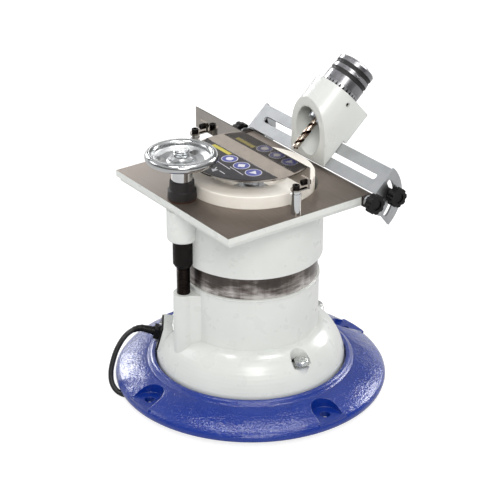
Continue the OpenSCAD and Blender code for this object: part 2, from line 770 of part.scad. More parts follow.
module table_casting() {
    w = table_w / 2;
    color("#8b847c") difference() {
        union() {
            translate([cx - w, -table_front, table_top - table_t]) cube([table_w, table_d, table_t]);
            translate([cx - w + rim_inset, -table_front + rim_inset, rim_z])
                cube([table_w - 2 * rim_inset, table_d - 2 * rim_inset, rim_t + eps]);
            translate([0, 0, skirt_z]) cylinder(r = skirt_r, h = skirt_h + eps, $fn = fine);
            translate([-column_x, -column_y, 0]) rotate_extrude() polygon([[0, boss_z],
                [boss_r - 3, boss_z], [boss_r - 0.9, boss_z + 0.9], [boss_r, boss_z + 3],
                [boss_r, rim_z + eps], [0, rim_z + eps]]);
        }
        translate([0, 0, skirt_z - 1]) cylinder(r = guide_r + fit, h = skirt_h - 1, $fn = fine);
        translate([0, 0, skirt_z - 1]) cylinder(r = wheel_hole_r, h = 120, $fn = fine);
        translate([-column_x, -column_y, boss_z - 1]) cylinder(r = nut_neck_r + fit, h = 120);
        translate([-column_x, -column_y, skirt_z - 1]) cylinder(r = nut_r + 0.4, h = boss_z - skirt_z + 1);
        for (x = post_x) translate([x, -post_front, table_top - 7])
            cylinder(r = 2.5 + press, h = 9, $fn = 32);
        for (s = [-1, 1]) translate([cx + s * (w - 16), pivot_y, pivot_z]) rotate([0, s * 90, 0])
            cylinder(r = stud_r + fit, h = 20, $fn = 32);
        for (s = [-1, 1]) translate([cx + s * (w - 12), pivot_y + arm_screw_y, pivot_z])
            rotate([0, s * 90, 0]) cylinder(r = arm_screw_r + press, h = 20, $fn = 32);
    }
}

module screw_nut() {
    length = shaft_z - nut_z;
    shoulder = nut_hang - 0.1;
    color("#1f1f21") translate([-column_x, -column_y, nut_z]) difference() {
        rotate_extrude() polygon([[0, 0], [nut_r - 2.4, 0], [nut_r, 4], [nut_r, shoulder],
            [nut_neck_r, shoulder], [nut_neck_r, length], [0, length]]);
        translate([0, 0, -1]) cylinder(r = rod_r + fit, h = table_top - nut_floor - nut_z + 1);
    }
}

module thrust_washer() {
    color("#b08d45") translate([-column_x, -column_y, table_top])
        ring(collar_r, nut_neck_r + gap, washer_t - 0.02);
}

module rubber_boot() {
    s = shaft_r + gap;
    mid = 0.5 * (boot_top_r + boot_r);
    color("#232324") translate([-column_x, -column_y, table_top]) rotate_extrude() polygon([
        [boot_r - 1.2, 0], [boot_r, 0], [boot_r, 1.5], [mid + 0.9, 9.5], [mid + 0.9, 11.5],
        [boot_top_r + 0.5, 13], [boot_top_r, boot_h - 1], [boot_top_r - 0.6, boot_h], [s, boot_h],
        [s, 13], [s, 9], [boot_r - 1.6, collar_h + washer_t + 1.5]]);
}

module handwheel_shaft() {
    color("#c9ccd0") translate([-column_x, -column_y, shaft_z]) {
        cylinder(r = shaft_r, h = hand_z - hub_drop - shaft_z);
        cylinder(r = collar_r, h = collar_h);
    }
}

module handwheel() {
    rim = hand_r - hand_rim_r;
    color("#c9ccd0") translate([-column_x, -column_y, hand_z]) difference() {
        union() {
            rotate_extrude() translate([rim, 0]) circle(r = hand_rim_r, $fn = 32);
            rotate_extrude() polygon([[0, -hub_drop], [shaft_r, -hub_drop], [14.5, -hub_drop + 2],
                [rim - 8, -7.5], [rim - 2, -3], [rim + 1.5, 0], [rim - 2, 2.4], [rim - 6, -1],
                [rim - 11, -3.8], [17.5, -4.6], [15.2, -3.6], [15, -1.6], [12.8, -1], [11.4, 1],
                [9.2, 1.6], [9, 3.6], [8.2, 4], [8.2, 4.8], [9, 5.2], [9, 6.4], [8.2, 6.8],
                [8.2, 7.4], [9, 7.8], [9, hub_rise - 0.4], [8.4, hub_rise], [0, hub_rise]]);
        }
        around(3, 23.2, 108) translate([0, 0, -20]) cylinder(r = 5.2, h = 40, $fn = 32);
    }
}

// Guard

module guard() {
    color("#cfd3d6") difference() {
        union() {
            translate([cx - wall_half, wall_y, post_z]) cube([2 * wall_half, guard_t, wall_h]);
            translate([cx, wall_y + eps, post_z]) difference() {
                cylinder(r = cover_r, h = guard_t, $fn = fine);
                translate([-cover_r - 1, 0, -1]) cube([2 * cover_r + 2, cover_r + 2, guard_t + 2]);
            }
        }
        for (x = post_x) translate([x, wall_y - 1, post_z + 6.5]) rotate([-90, 0, 0])
            cylinder(r = 2.6, h = 5, $fn = 32);
    }
}

module guard_label() {
    color("#1c1c22") translate([cx, wall_y, post_z + guard_t]) difference() {
        cylinder(r = cover_r - 2.5, h = 0.3, $fn = fine);
        translate([-cover_r, -12, -1]) cube([2 * cover_r, cover_r + 20, 3]);
    }
}

module guard_posts() {
    color("#c9ccd0") for (x = post_x) translate([x, -post_front, table_top]) difference() {
        union() {
            rotate_extrude() polygon([[0, 0], [post_r, 0], [post_r, post_h - 4], [post_r - 0.8, post_h - 3.6],
                [post_r - 0.8, post_h - 3], [post_r, post_h - 2.6], [post_r, post_h - 0.5],
                [post_r - 0.5, post_h], [0, post_h]]);
            translate([0, 0, -6.8]) cylinder(r = 2.5, h = 7, $fn = 32);
        }
        translate([0, 0, post_h - 14]) cylinder(r = 3 + press, h = 20, $fn = 32);
    }
}

module guard_clips() {
    back = post_front + clip_y;
    color("#c9ccd0") for (x = post_x) translate([x, -post_front, post_z]) {
        difference() {
            union() {
                cylinder(r = 6.5, h = guard_t);
                translate([-6.5, 0, 0]) cube([13, back + guard_t, guard_t]);
            }
            translate([0, 0, -1]) cylinder(r = 3.2, h = 5, $fn = 32);
        }
        difference() {
            translate([-6.5, back, 0]) cube([13, guard_t - 0.02, 12.5]);
            translate([0, back - 1, 6.5]) rotate([-90, 0, 0]) cylinder(r = 2.6, h = 5, $fn = 32);
        }
    }
}

module guard_screws() {
    color("#222224") for (x = post_x) {
        translate([x, -post_front, post_z + guard_t]) socket_screw(3, 14, 4.2, 4.6);
        translate([x, clip_y, post_z + 6.5]) {
            rotate([90, 0, 0]) socket_screw(2.5, 2 * guard_t + 4, 3.5, 3.6);
            translate([0, 2 * guard_t, 0]) rotate([-90, 0, 0]) difference() {
                hex(8, 3.6);
                translate([0, 0, -1]) cylinder(r = 2.5 + press, h = 6, $fn = 32);
            }
        }
    }
}

// Tilting rail, its arms and knobs

module arm_outline() {
    translate([-5.5, -7]) square([14, 12]);
    translate([arm_screw_y, 0]) circle(r = 3.9);
    translate([0, -7]) square([arc_r, 7.5]);
    translate([arc_r, 0]) circle(r = 6);
}

// One arm lies flat against the side of the table; the outline's axes are depth and height
module side_arm(s) {
    translate([cx + s * (arm_in_x + arm_t / 2), pivot_y, pivot_z]) difference() {
        rotate([90, 0, 90]) translate([0, 0, -arm_t / 2]) linear_extrude(arm_t) arm_outline();
        for (y = [0, arc_r]) translate([-10, y, 0]) rotate([0, 90, 0])
            cylinder(r = stud_r + fit, h = 20, $fn = 48);
        translate([-10, arm_screw_y, 0]) rotate([0, 90, 0])
            cylinder(r = arm_screw_r + gap, h = 20, $fn = 32);
        translate([s * (arm_t / 2 - 2.6), arm_screw_y, 0]) rotate([0, s * 90, 0])
            cylinder(r = 3, h = 5, $fn = 32);
    }
}

module right_arm() {
    color("#29221f") side_arm(1);
}

module left_arm() {
    color("#29221f") side_arm(-1);
}

module arm_screws() {
    color("#222224") for (s = [-1, 1])
        translate([cx + s * (arm_in_x + arm_t), pivot_y + arm_screw_y, pivot_z])
        rotate([0, s * 90, 0]) translate([0, 0, -2.6]) {
            translate([0, 0, -arm_t - 5]) cylinder(r = arm_screw_r, h = arm_t + 5 + eps, $fn = 32);
            difference() {
                cylinder(r = 2.7, h = 2.5, $fn = 32);
                translate([0, 0, 1.2]) hex(2.4, 4);
            }
        }
}

module on_rail() {
    translate([0, pivot_y, pivot_z]) rotate([slope, 0, 0]) children();
}

function ray(r, a) = [r * cos(a), r * sin(a)];

// A wedge that is cut from a round shape between two angles
module wedge(r, a, b) {
    polygon([[0, 0], ray(1.6 * r, a), ray(1.6 * r, 0.5 * (a + b)), ray(1.6 * r, b)]);
}

module ear_outline() {
    difference() {
        union() {
            intersection() {
                circle(r = ear_r);
                wedge(ear_r, asin(rail_up / ear_r), -94);
            }
            circle(r = 7.5);
            polygon([[1, 6.6], [8.6, rail_up], [20, rail_up], [20, -12], [-2, -30], [-5, -24], [-7, -1]]);
        }
        circle(r = stud_r + fit, $fn = 48);
        intersection() {
            difference() {
                circle(r = arc_r + slot_half_w);
                circle(r = arc_r - slot_half_w);
            }
            wedge(ear_r, arc_ends[0], arc_ends[1]);
        }
        for (a = arc_ends) rotate(a) translate([arc_r, 0]) circle(r = slot_half_w - 0.05, $fn = 48);
    }
}

module tilt_rail() {
    color("#b4b8bb") on_rail() {
        difference() {
            translate([cx - rail_half, rail_low, rail_up - rail_t]) cube([2 * rail_half, rail_w, rail_t]);
            translate([cx, slot_v, 0]) for (s = [-1, 1]) translate([s * slot_half, 0, -5])
                cylinder(r = slot_r, h = 10, $fn = 48);
            translate([cx - slot_half, slot_v - slot_r, -5]) cube([2 * slot_half, 2 * slot_r, 10]);
        }
        translate([cx - rail_half, rail_high - rail_t, rail_up - 9])
            cube([2 * rail_half, rail_t, 9.0 - rail_t + eps]);
        for (s = [-1, 1]) translate([cx + s * (ear_in_x + rail_t / 2), 0, 0]) rotate([90, 0, 90])
            translate([0, 0, -rail_t / 2]) linear_extrude(rail_t) ear_outline();
    }
}

// A star knob points along +X from the outer face of the end plate
module star_knob(reach) {
    rotate([0, 90, 0]) {
        translate([0, 0, -reach]) cylinder(r = stud_r, h = reach + 3, $fn = 48);
        difference() {
            union() {
                cylinder(r = 6.5, h = 3.1);
                translate([0, 0, 3]) difference() {
                    cylinder(r = knob_r, h = 9.5);
                    around(8, knob_r + 1.6, 22.5) translate([0, 0, -1]) cylinder(r = 3, h = 12, $fn = 32);
                }
            }
            translate([0, 0, 11]) cylinder(r = knob_r * 0.55, h = 4);
        }
    }
}

module knob_at(s, y) {
    translate([cx + s * (ear_in_x + rail_t + gap), pivot_y + y, pivot_z]) rotate([0, 0, s > 0 ? 0 : 180])
        star_knob(y > 0 ? rail_t + arm_t + gap : rail_t + arm_t + 12);
}

module right_pivot_knob() {
    color("#1b1b1c") knob_at(1, 0);
}

module right_lock_knob() {
    color("#1b1b1c") knob_at(1, arc_r);
}

module left_pivot_knob() {
    color("#1b1b1c") knob_at(-1, 0);
}

module left_lock_knob() {
    color("#1b1b1c") knob_at(-1, arc_r);
}

// Drill holder and chuck

module drill_holder() {
    color("#d8dbd5") on_rail() translate([-holder_x, 0, 0]) difference() {
        union() {
            translate([0, 0, axis_n]) rotate([-90, 0, 0]) cylinder(r = holder_half, h = holder_rear);
            translate([-holder_half, 0, holder_n])
                cube([2 * holder_half, holder_rear, axis_n - holder_n]);
            translate([-holder_half, fence_v, holder_n - fence_h])
                cube([2 * holder_half, holder_rear - fence_v, fence_h + eps]);
        }
        translate([0, -1, axis_n]) rotate([-90, 0, 0]) cylinder(r = bore_r, h = holder_rear + 2);
        rotate([-slope, 0, 0]) translate([-2 * holder_half, holder_front - holder_rear, -holder_rear])
            cube([4 * holder_half, holder_rear, 3 * holder_rear]);
        translate([-holder_half - 1, -1, holder_n - 50])
            cube([2 * holder_half + 2, fence_v + 1, 50]);
        translate([0, slot_v, 0]) cylinder(r = 3 + press, h = holder_n + 3.2, $fn = 48);
        translate([0, holder_rear - 10, axis_n + 3]) rotate([0, 90, 0])
            cylinder(r = 2.5, h = 60, $fn = 32);
    }
}

module holder_screw() {
    color("#1b1b1c") on_rail() translate([-holder_x, holder_rear - 10, axis_n + 3]) rotate([0, 90, 0])
        translate([0, 0, bore_r + 0.5]) difference() {
            cylinder(r = 2.5 - press, h = 6, $fn = 32);
            translate([0, 0, 3]) hex(2.5, 4);
        }
}

module holder_clamp_knob() {
    under = rail_up - rail_t - gap;
    color("#1b1b1c") on_rail() translate([-holder_x, slot_v, under]) {
        translate([0, 0, -1]) cylinder(r = 3, h = holder_n - under + 4, $fn = 48);
        mirror([0, 0, 1]) {
            cylinder(r = 6.5, h = 3.1);
            translate([0, 0, 3]) difference() {
                cylinder(r = 10, h = 9);
                around(6, 11.5) translate([0, 0, -1]) cylinder(r = 3, h = 12, $fn = 32);
            }
        }
    }
}

module along_drill() {
    on_rail() translate([-holder_x, 0, axis_n]) rotate([-90, 0, 0]) children();
}

module index_ring() {
    depth = 5;
    color("#c9ccd0") along_drill() difference() {
        union() {
            translate([0, 0, holder_rear - 22]) cylinder(r = bore_r - fit, h = 22 + gap + eps);
            translate([0, 0, flange_w]) cylinder(r = chuck_r, h = index_t);
        }
        cylinder(r = core_r + fit, h = 200);
        around(index_n, bore_r + 0.2) translate([0, 0, flange_w]) rotate([90, 0, 90])
            linear_extrude(5) polygon([[-2.5, -1], [2.5, -1], [0, depth]]);
    }
}

module chuck_core() {
    color("#9a9d9f") along_drill() difference() {
        union() {
            translate([0, 0, core_z + 22]) cylinder(r = core_r, h = sleeve_end - core_z - 22);
            translate([0, 0, core_z]) cylinder(r1 = 11, r2 = core_r, h = 22 + eps);
        }
        translate([0, 0, core_z - 1]) cylinder(r = drill_r + press, h = 50);
        for (i = [0 : 2]) rotate([0, 0, i * 120]) translate([0, -3.3, core_z - 1]) cube([30, 6.6, 22]);
    }
}

module chuck_jaw(i) {
    color("#6f7276") along_drill() rotate([0, 0, i * 120]) intersection() {
        translate([drill_r + press, -3, core_z - 3]) cube([9, 6, 23.5]);
        translate([0, 0, core_z - 3]) cylinder(r1 = 9, r2 = 13, h = 24);
    }
}

module jaw_1() {
    chuck_jaw(0);
}

module jaw_2() {
    chuck_jaw(1);
}

module jaw_3() {
    chuck_jaw(2);
}

module chuck_sleeve() {
    w = sleeve_l;
    color("#b9bcc0") along_drill() translate([0, 0, sleeve_w]) difference() {
        rotate_extrude() polygon([[core_r + gap, 0], [chuck_r, 0], [chuck_r, 0.33 * w],
            [chuck_r - 0.8, 0.33 * w], [chuck_r - 0.8, 0.46 * w], [chuck_r - 0.1, 0.46 * w],
            [chuck_r - 0.1, 0.55 * w], [chuck_r - 0.6, 0.57 * w], [chuck_r - 0.6, 0.66 * w],
            [chuck_r - 1.3, 0.66 * w], [chuck_r - 1.3, 0.78 * w], [chuck_r - 0.6, 0.78 * w],
            [chuck_r - 0.6, w - 1.4], [chuck_r - 2, w], [core_r + gap, w]]);
    }
}

module chuck_cap() {
    color("#9a9d9f") along_drill() translate([0, 0, sleeve_end])
        rotate_extrude() polygon([[0, 0], [core_r + 1.5, 0], [core_r + 1.5, 1.2], [core_r - 1, 2.6],
            [5, 3.4], [4.5, 2.6], [0, 2.6]]);
}

module flute_section() {
    difference() {
        circle(r = drill_r, $fn = 16);
        for (a = [0, 180]) rotate(a) translate([drill_r * 0.82, drill_r * 0.12])
            circle(r = drill_r * 0.6, $fn = 8);
    }
}

module drill_bit() {
    shank_w = core_z - 6;
    flute_l = shank_w - tip_w - 2;
    color("#a8703a") along_drill() {
        translate([0, 0, shank_w]) cylinder(r = drill_r, h = 46);
        translate([0, 0, tip_w + 2]) linear_extrude(flute_l + eps, twist = -360 * flute_l / 26, slices = 24)
            flute_section();
        translate([0, 0, tip_w]) cylinder(r1 = 0.4, r2 = drill_r * 0.4, h = 2 + eps, $fn = 32);
    }
}

base_ring();
rubber_feet();
foot_screws();
body_casting();
body_bolts();
bolt_washers();
bottom_cover();
lower_bearing_plate();
lower_bearing();
upper_bearing_plate();
upper_bearing();
stator_core();
stator_windings();
rotor();
spindle();
cooling_fan();
run_capacitor();
wheel_flange();
grinding_wheel();
clamp_washer();
spindle_nut();
cable_plate();
cable_plate_screws();
cable_gland();
power_cord();
cord_coil();
power_plug();
switch_box();
switch_rocker();
elevating_screw();
table_casting();
screw_nut();
thrust_washer();
rubber_boot();
handwheel_shaft();
handwheel();
guard();
guard_label();
guard_posts();
guard_clips();
guard_screws();
right_arm();
left_arm();
arm_screws();
tilt_rail();
right_pivot_knob();
right_lock_knob();
left_pivot_knob();
left_lock_knob();
drill_holder();
holder_screw();
holder_clamp_knob();
index_ring();
chuck_core();
jaw_1();
jaw_2();
jaw_3();
chuck_sleeve();
chuck_cap();
drill_bit();
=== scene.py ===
import math

import bmesh
import bpy
import numpy as np
from mathutils import Matrix


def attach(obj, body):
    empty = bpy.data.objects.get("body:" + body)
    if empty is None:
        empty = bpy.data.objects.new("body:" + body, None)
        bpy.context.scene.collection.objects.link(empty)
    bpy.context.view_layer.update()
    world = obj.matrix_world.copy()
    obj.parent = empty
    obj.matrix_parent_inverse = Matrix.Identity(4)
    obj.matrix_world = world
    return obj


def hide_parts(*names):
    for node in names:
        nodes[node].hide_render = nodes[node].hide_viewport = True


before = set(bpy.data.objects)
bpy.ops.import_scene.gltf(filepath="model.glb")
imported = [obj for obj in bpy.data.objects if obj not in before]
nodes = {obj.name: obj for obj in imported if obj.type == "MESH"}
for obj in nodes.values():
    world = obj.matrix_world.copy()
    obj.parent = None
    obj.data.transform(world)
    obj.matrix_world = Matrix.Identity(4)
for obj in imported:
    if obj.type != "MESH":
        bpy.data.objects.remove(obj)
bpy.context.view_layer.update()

mm = 0.001

cameraLook = {
    "target": (-0.0017807, 0.0, 0.175172),
    "distance": 2.2,
    "azimuth": 53.722,
    "elevation": 26.710,
    "roll": -0.2037,
    "lens": 132.03,
    "sensor": 36.0,
    "clip": (0.05, 60.0),
}


def unit(v):
    v = np.asarray(v, float)
    return v / np.linalg.norm(v)


def cameraAxes(look):
    # back points from the target to the lens, right and up lie in the picture
    az, el, roll = (math.radians(look[k]) for k in ("azimuth", "elevation", "roll"))
    back = np.array([math.sin(az) * math.cos(el), -math.cos(az) * math.cos(el), math.sin(el)])
    right = np.array([math.cos(az), math.sin(az), 0.0])
    up = np.cross(back, right)
    turnedRight = right * math.cos(roll) - up * math.sin(roll)
    turnedUp = up * math.cos(roll) + right * math.sin(roll)
    return turnedRight, turnedUp, back


def standIn(thing, place, right, up, back):
    # a camera or lamp goes into the scene at its place, looking the other way from back
    bpy.context.scene.collection.objects.link(thing)
    thing.matrix_world = Matrix.Translation(place) @ Matrix((right, up, back)).transposed().to_4x4()


def makeCamera(look):
    right, up, back = cameraAxes(look)
    data = bpy.data.cameras.new("camera")
    data.lens = look["lens"]
    data.sensor_width = look["sensor"]
    data.clip_start, data.clip_end = look["clip"]
    camera = bpy.data.objects.new("camera", data)
    standIn(camera, np.array(look["target"]) + back * look["distance"], right, up, back)
    bpy.context.scene.camera = camera


makeCamera(cameraLook)
print("camera set")


def pieceFrom(name, points, faces, material, body, smooth=True):
    # a piece at the origin, its place in its mesh
    mesh = bpy.data.meshes.new(name)
    mesh.from_pydata(points.tolist(), [], faces)
    mesh.validate()
    mesh.polygons.foreach_set("use_smooth", np.full(len(mesh.polygons), smooth))
    mesh.materials.append(material)
    piece = bpy.data.objects.new(name, mesh)
    bpy.context.scene.collection.objects.link(piece)
    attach(piece, body)
    return piece


def gridFaces(rows, columns):
    # quads between neighbouring rows, the columns joined round
    r, c = np.meshgrid(np.arange(rows - 1), np.arange(columns), indexing="ij")
    nextC = (c + 1) % columns
    corners = [r * columns + c, r * columns + nextC, (r + 1) * columns + nextC, (r + 1) * columns + c]
    return np.stack(corners, axis=-1).reshape(-1, 4).tolist()


def closedFaces(rows, columns):
    # the same with a face over each end
    last = (rows - 1) * columns
    return gridFaces(rows, columns) + [list(range(columns))[::-1], [last + i for i in range(columns)]]


def smoothLine(points, step):
    # each piece between two points is a cubic that also looks at the points before and after
    p = np.vstack([2 * points[0] - points[1], points, 2 * points[-1] - points[-2]])
    t = np.linspace(0, 1, step, endpoint=False)[None, :, None]
    a, b, c, d = (p[i:len(p) - 3 + i, None, :] for i in range(4))
    squared, cubed = 2 * a - 5 * b + 4 * c - d, 3 * b - a - 3 * c + d
    line = 0.5 * (2 * b + (c - a) * t + squared * t ** 2 + cubed * t ** 3)
    return np.vstack([line.reshape(-1, 3), points[-1:]])


def evenly(points, spacing):
    # the same line with its points the same distance apart
    along = np.concatenate([[0], np.cumsum(np.linalg.norm(np.diff(points, axis=0), axis=1))])
    count = max(2, int(round(along[-1] / spacing)) + 1)
    at = np.linspace(0, along[-1], count)
    return np.stack([np.interp(at, along, points[:, k]) for k in range(3)], axis=1), at


def sweptTube(points, radii, sides):
    # rings square to the line, carried along it without twist
    ahead = np.gradient(points, axis=0)
    ahead /= np.linalg.norm(ahead, axis=1, keepdims=True)
    side = np.empty_like(points)
    side[0] = unit(np.cross(ahead[0], [0, 0, 1]))
    for i in range(1, len(points)):
        side[i] = unit(side[i - 1] - ahead[i] * side[i - 1].dot(ahead[i]))
    top = np.cross(side, ahead)
    angle = np.linspace(0, 2 * np.pi, sides, endpoint=False)
    ring = side[:, None, :] * np.cos(angle)[None, :, None] + top[:, None, :] * np.sin(angle)[None, :, None]
    grid = points[:, None, :] + ring * np.asarray(radii)[:, None, None]
    return grid.reshape(-1, 3), [f[::-1] for f in closedFaces(len(points), sides)]


def outward(piece):
    # normals made to point out, on a closed piece only
    work = bmesh.new()
    work.from_mesh(piece.data)
    bmesh.ops.recalc_face_normals(work, faces=work.faces)
    work.to_mesh(piece.data)
    work.free()


def shade(hexColour):
    # a screen colour as the light values the shader takes
    parts = [int(hexColour[i:i + 2], 16) / 255 for i in (1, 3, 5)]
    return tuple(c / 12.92 if c <= 0.04045 else ((c + 0.055) / 1.055) ** 2.4 for c in parts) + (1.0,)


def emptyTree(owner):
    owner.use_nodes = True
    owner.node_tree.nodes.clear()
    return owner.node_tree


def startFinish(name, colour, roughness, metallic=0.0, **sockets):
    # the shader with its even values on its own sockets, and the coordinates that the patterns read
    material = bpy.data.materials.new(name)
    tree = emptyTree(material)
    output = tree.nodes.new("ShaderNodeOutputMaterial")
    shader = tree.nodes.new("ShaderNodeBsdfPrincipled")
    tree.links.new(shader.outputs["BSDF"], output.inputs["Surface"])
    shader.inputs["Base Color"].default_value = shade(colour)
    shader.inputs["Roughness"].default_value = roughness
    shader.inputs["Metallic"].default_value = metallic
    for key, value in sockets.items():
        shader.inputs[key.replace("_", " ")].default_value = value
    coords = tree.nodes.new("ShaderNodeTexCoord")
    return {"material": material, "tree": tree, "shader": shader, "place": coords.outputs["Object"],
            "normal": coords.outputs["Normal"]}


def put(kit, socket, value):
    # another node's result is linked, a hex colour or a plain value is set
    if isinstance(value, bpy.types.NodeSocket):
        kit["tree"].links.new(value, socket)
    else:
        socket.default_value = shade(value) if isinstance(value, str) else value


def stretched(kit, scale, turn=(0, 0, 0)):
    node = kit["tree"].nodes.new("ShaderNodeMapping")
    put(kit, node.inputs["Vector"], kit["place"])
    node.inputs["Scale"].default_value = scale
    node.inputs["Rotation"].default_value = [math.radians(a) for a in turn]
    return node.outputs["Vector"]


def cloud(kit, scale, detail=3.0, rough=0.5, place=None):
    # noise whose lumps are about 1/scale metres across
    node = kit["tree"].nodes.new("ShaderNodeTexNoise")
    put(kit, node.inputs["Vector"], place if place else kit["place"])
    node.inputs["Scale"].default_value = scale
    node.inputs["Detail"].default_value = detail
    node.inputs["Roughness"].default_value = rough
    return node.outputs["Fac"]


def ramp(kit, value, stops):
    # each stop has its place and a hex colour or a grey level
    node = kit["tree"].nodes.new("ShaderNodeValToRGB")
    put(kit, node.inputs["Fac"], value)
    bar = node.color_ramp
    while len(bar.elements) < len(stops):
        bar.elements.new(0.5)
    for element, (where, colour) in zip(bar.elements, stops):
        element.position = where
        element.color = shade(colour) if isinstance(colour, str) else (colour, colour, colour, 1.0)
    return node.outputs["Color"]


def spread(kit, value, low, high, toLow, toHigh):
    node = kit["tree"].nodes.new("ShaderNodeMapRange")
    keys = ("Value", "From Min", "From Max", "To Min", "To Max")
    for key, v in zip(keys, (value, low, high, toLow, toHigh)):
        put(kit, node.inputs[key], v)
    return node.outputs["Result"]


def noiseTo(kit, noise, low, high):
    # nearly all of a noise lies between 0.3 and 0.7
    return spread(kit, noise, 0.3, 0.7, low, high)


def maths(kit, operation, a, b=0.0):
    node = kit["tree"].nodes.new("ShaderNodeMath")
    node.operation = operation
    put(kit, node.inputs[0], a)
    put(kit, node.inputs[1], b)
    return node.outputs["Value"]


def plus(kit, a, b):
    return maths(kit, "ADD", a, b)


def times(kit, a, b):
    return maths(kit, "MULTIPLY", a, b)


def above(kit, value, limit):
    return maths(kit, "GREATER_THAN", value, limit)


def below(kit, value, limit):
    return maths(kit, "LESS_THAN", value, limit)


def chosen(kit, mask, inside, outside):
    # one value where the mask is 1, the other where it is 0
    return plus(kit, times(kit, mask, inside), times(kit, maths(kit, "SUBTRACT", 1.0, mask), outside))


def across(kit, a, b):
    # the distance that two measures square to each other make
    return maths(kit, "SQRT", plus(kit, times(kit, a, a), times(kit, b, b)))


def blendColours(kit, factor, a, b):
    node = kit["tree"].nodes.new("ShaderNodeMix")
    node.data_type = "RGBA"
    put(kit, node.inputs[0], factor)
    put(kit, node.inputs[6], a)
    put(kit, node.inputs[7], b)
    return node.outputs[2]


def measured(kit, direction, offset, vector=None):
    # how far a point lies along a direction, past an offset, in metres
    node = kit["tree"].nodes.new("ShaderNodeVectorMath")
    node.operation = "DOT_PRODUCT"
    put(kit, node.inputs[0], vector if vector else kit["place"])
    node.inputs[1].default_value = direction
    return maths(kit, "SUBTRACT", node.outputs["Value"], offset)


def relief(kit, height, distance, strength=1.0, under=None):
    node = kit["tree"].nodes.new("ShaderNodeBump")
    node.inputs["Strength"].default_value = strength
    node.inputs["Distance"].default_value = distance
    put(kit, node.inputs["Height"], height)
    if under:
        put(kit, node.inputs["Normal"], under)
    return node.outputs["Normal"]


def setColour(kit, value):
    put(kit, kit["shader"].inputs["Base Color"], value)


def setRough(kit, value):
    put(kit, kit["shader"].inputs["Roughness"], value)


def setMetal(kit, value):
    put(kit, kit["shader"].inputs["Metallic"], value)


def setNormal(kit, value):
    put(kit, kit["shader"].inputs["Normal"], value)
    put(kit, kit["shader"].inputs["Coat Normal"], value)


upwards = (0, 0, 1)
sideways = (1, 0, 0)
columnAt = (-8.5, -92.4)        # the axis of rod and handwheel, in millimetres
shoulderLevel = 0.1512          # where the turned guide of the body starts, in metres like the next three
shoulderFadeLevel = 0.1655             # where the guide's lighter, more blotchy band just above the shoulder ends
groundLevel = 0.2665            # below the table's ground face and above its enamelled sides
tableTopLevel = 0.2669
railTilt = 41.7
slope = math.radians(railTilt)
alongDrill = (0.0, math.cos(slope), math.sin(slope))
acrossDrill = (0.0, -math.sin(slope), math.cos(slope))
railPivot = np.array([-4.5, 82.8, 262.7]) * mm
pivotAlong = float(railPivot.dot(alongDrill))


def onRail(x, v, n):
    # a point of the rail's own frame, x from the middle of the machine, in millimetres
    reach = np.array([x, 0, 0]) + v * np.array(alongDrill) + n * np.array(acrossDrill)
    return np.array([0.0, railPivot[1], railPivot[2]]) + reach * mm


drillAxis = onRail(-7.0, 0.0, 28.7)
chuckSleeve = {"start": 99.6, "length": 33.0, "bands": [(0.33, 0.46), (0.66, 0.78)], "bandSpill": 0.8}
# the indexing notches, in millimetres; half, tall, foot, floor and rim place the black painted shade in and
# round them
notches = {"count": 30, "pitch": 5.24, "half": 2.1, "tall": 5.6, "foot": 93.3, "floor": 24.8, "rim": 0.5}
flutes = (0.0022, 0.0039)       # distance from the drill's axis where a flute ends and a land begins
webRadii = {"hub": (0.009, 0.011), "rim": (0.0315, 0.0335)}


def fromDrillAxis(kit):
    # two measures square to each other and to the drill, in metres
    aside = measured(kit, sideways, float(drillAxis[0]))
    return aside, measured(kit, acrossDrill, float(drillAxis.dot(acrossDrill)))


enamel = {"white": "#d9dbd8", "whiteShade": "#d3d6d2", "blue": "#05318f", "blueDeep": "#03257c"}


def enamelCoat(kit, edge, ripple, peel):
    # edges rounded in the light by a radius, then slow waves of the casting, then the fine orange peel
    rounded = kit["tree"].nodes.new("ShaderNodeBevel")
    rounded.samples = 6
    rounded.inputs["Radius"].default_value = edge
    waves = relief(kit, cloud(kit, 38, 2.0), ripple, 1.0, rounded.outputs["Normal"])
    return relief(kit, cloud(kit, 420, 3.0), peel, 1.0, waves)


def whiteEnamel(name, edge=0.0012):
    kit = startFinish(name, enamel["white"], 0.28, Coat_Weight=0.25, Coat_Roughness=0.14,
                      Specular_IOR_Level=0.45)
    tone = noiseTo(kit, cloud(kit, 22, 4.0), 0.0, 1.0)
    kit["painted"] = blendColours(kit, tone, enamel["white"], enamel["whiteShade"])
    kit["paintedRough"] = noiseTo(kit, cloud(kit, 60, 4.0), 0.26, 0.32)
    setColour(kit, kit["painted"])
    setRough(kit, kit["paintedRough"])
    setNormal(kit, enamelCoat(kit, edge, 0.00004, 0.00002))
    return kit


def blueEnamel():
    kit = startFinish("blueEnamel", enamel["blue"], 0.2, Coat_Weight=1.0, Coat_Roughness=0.05, Coat_IOR=1.46,
                      Specular_IOR_Level=0.08)
    setColour(kit, blendColours(kit, cloud(kit, 30, 5.0), enamel["blue"], enamel["blueDeep"]))
    setRough(kit, noiseTo(kit, cloud(kit, 90, 4.0), 0.3, 0.45))
    setNormal(kit, enamelCoat(kit, 0.0014, 0.0016, 0.0006))
    return kit["material"]


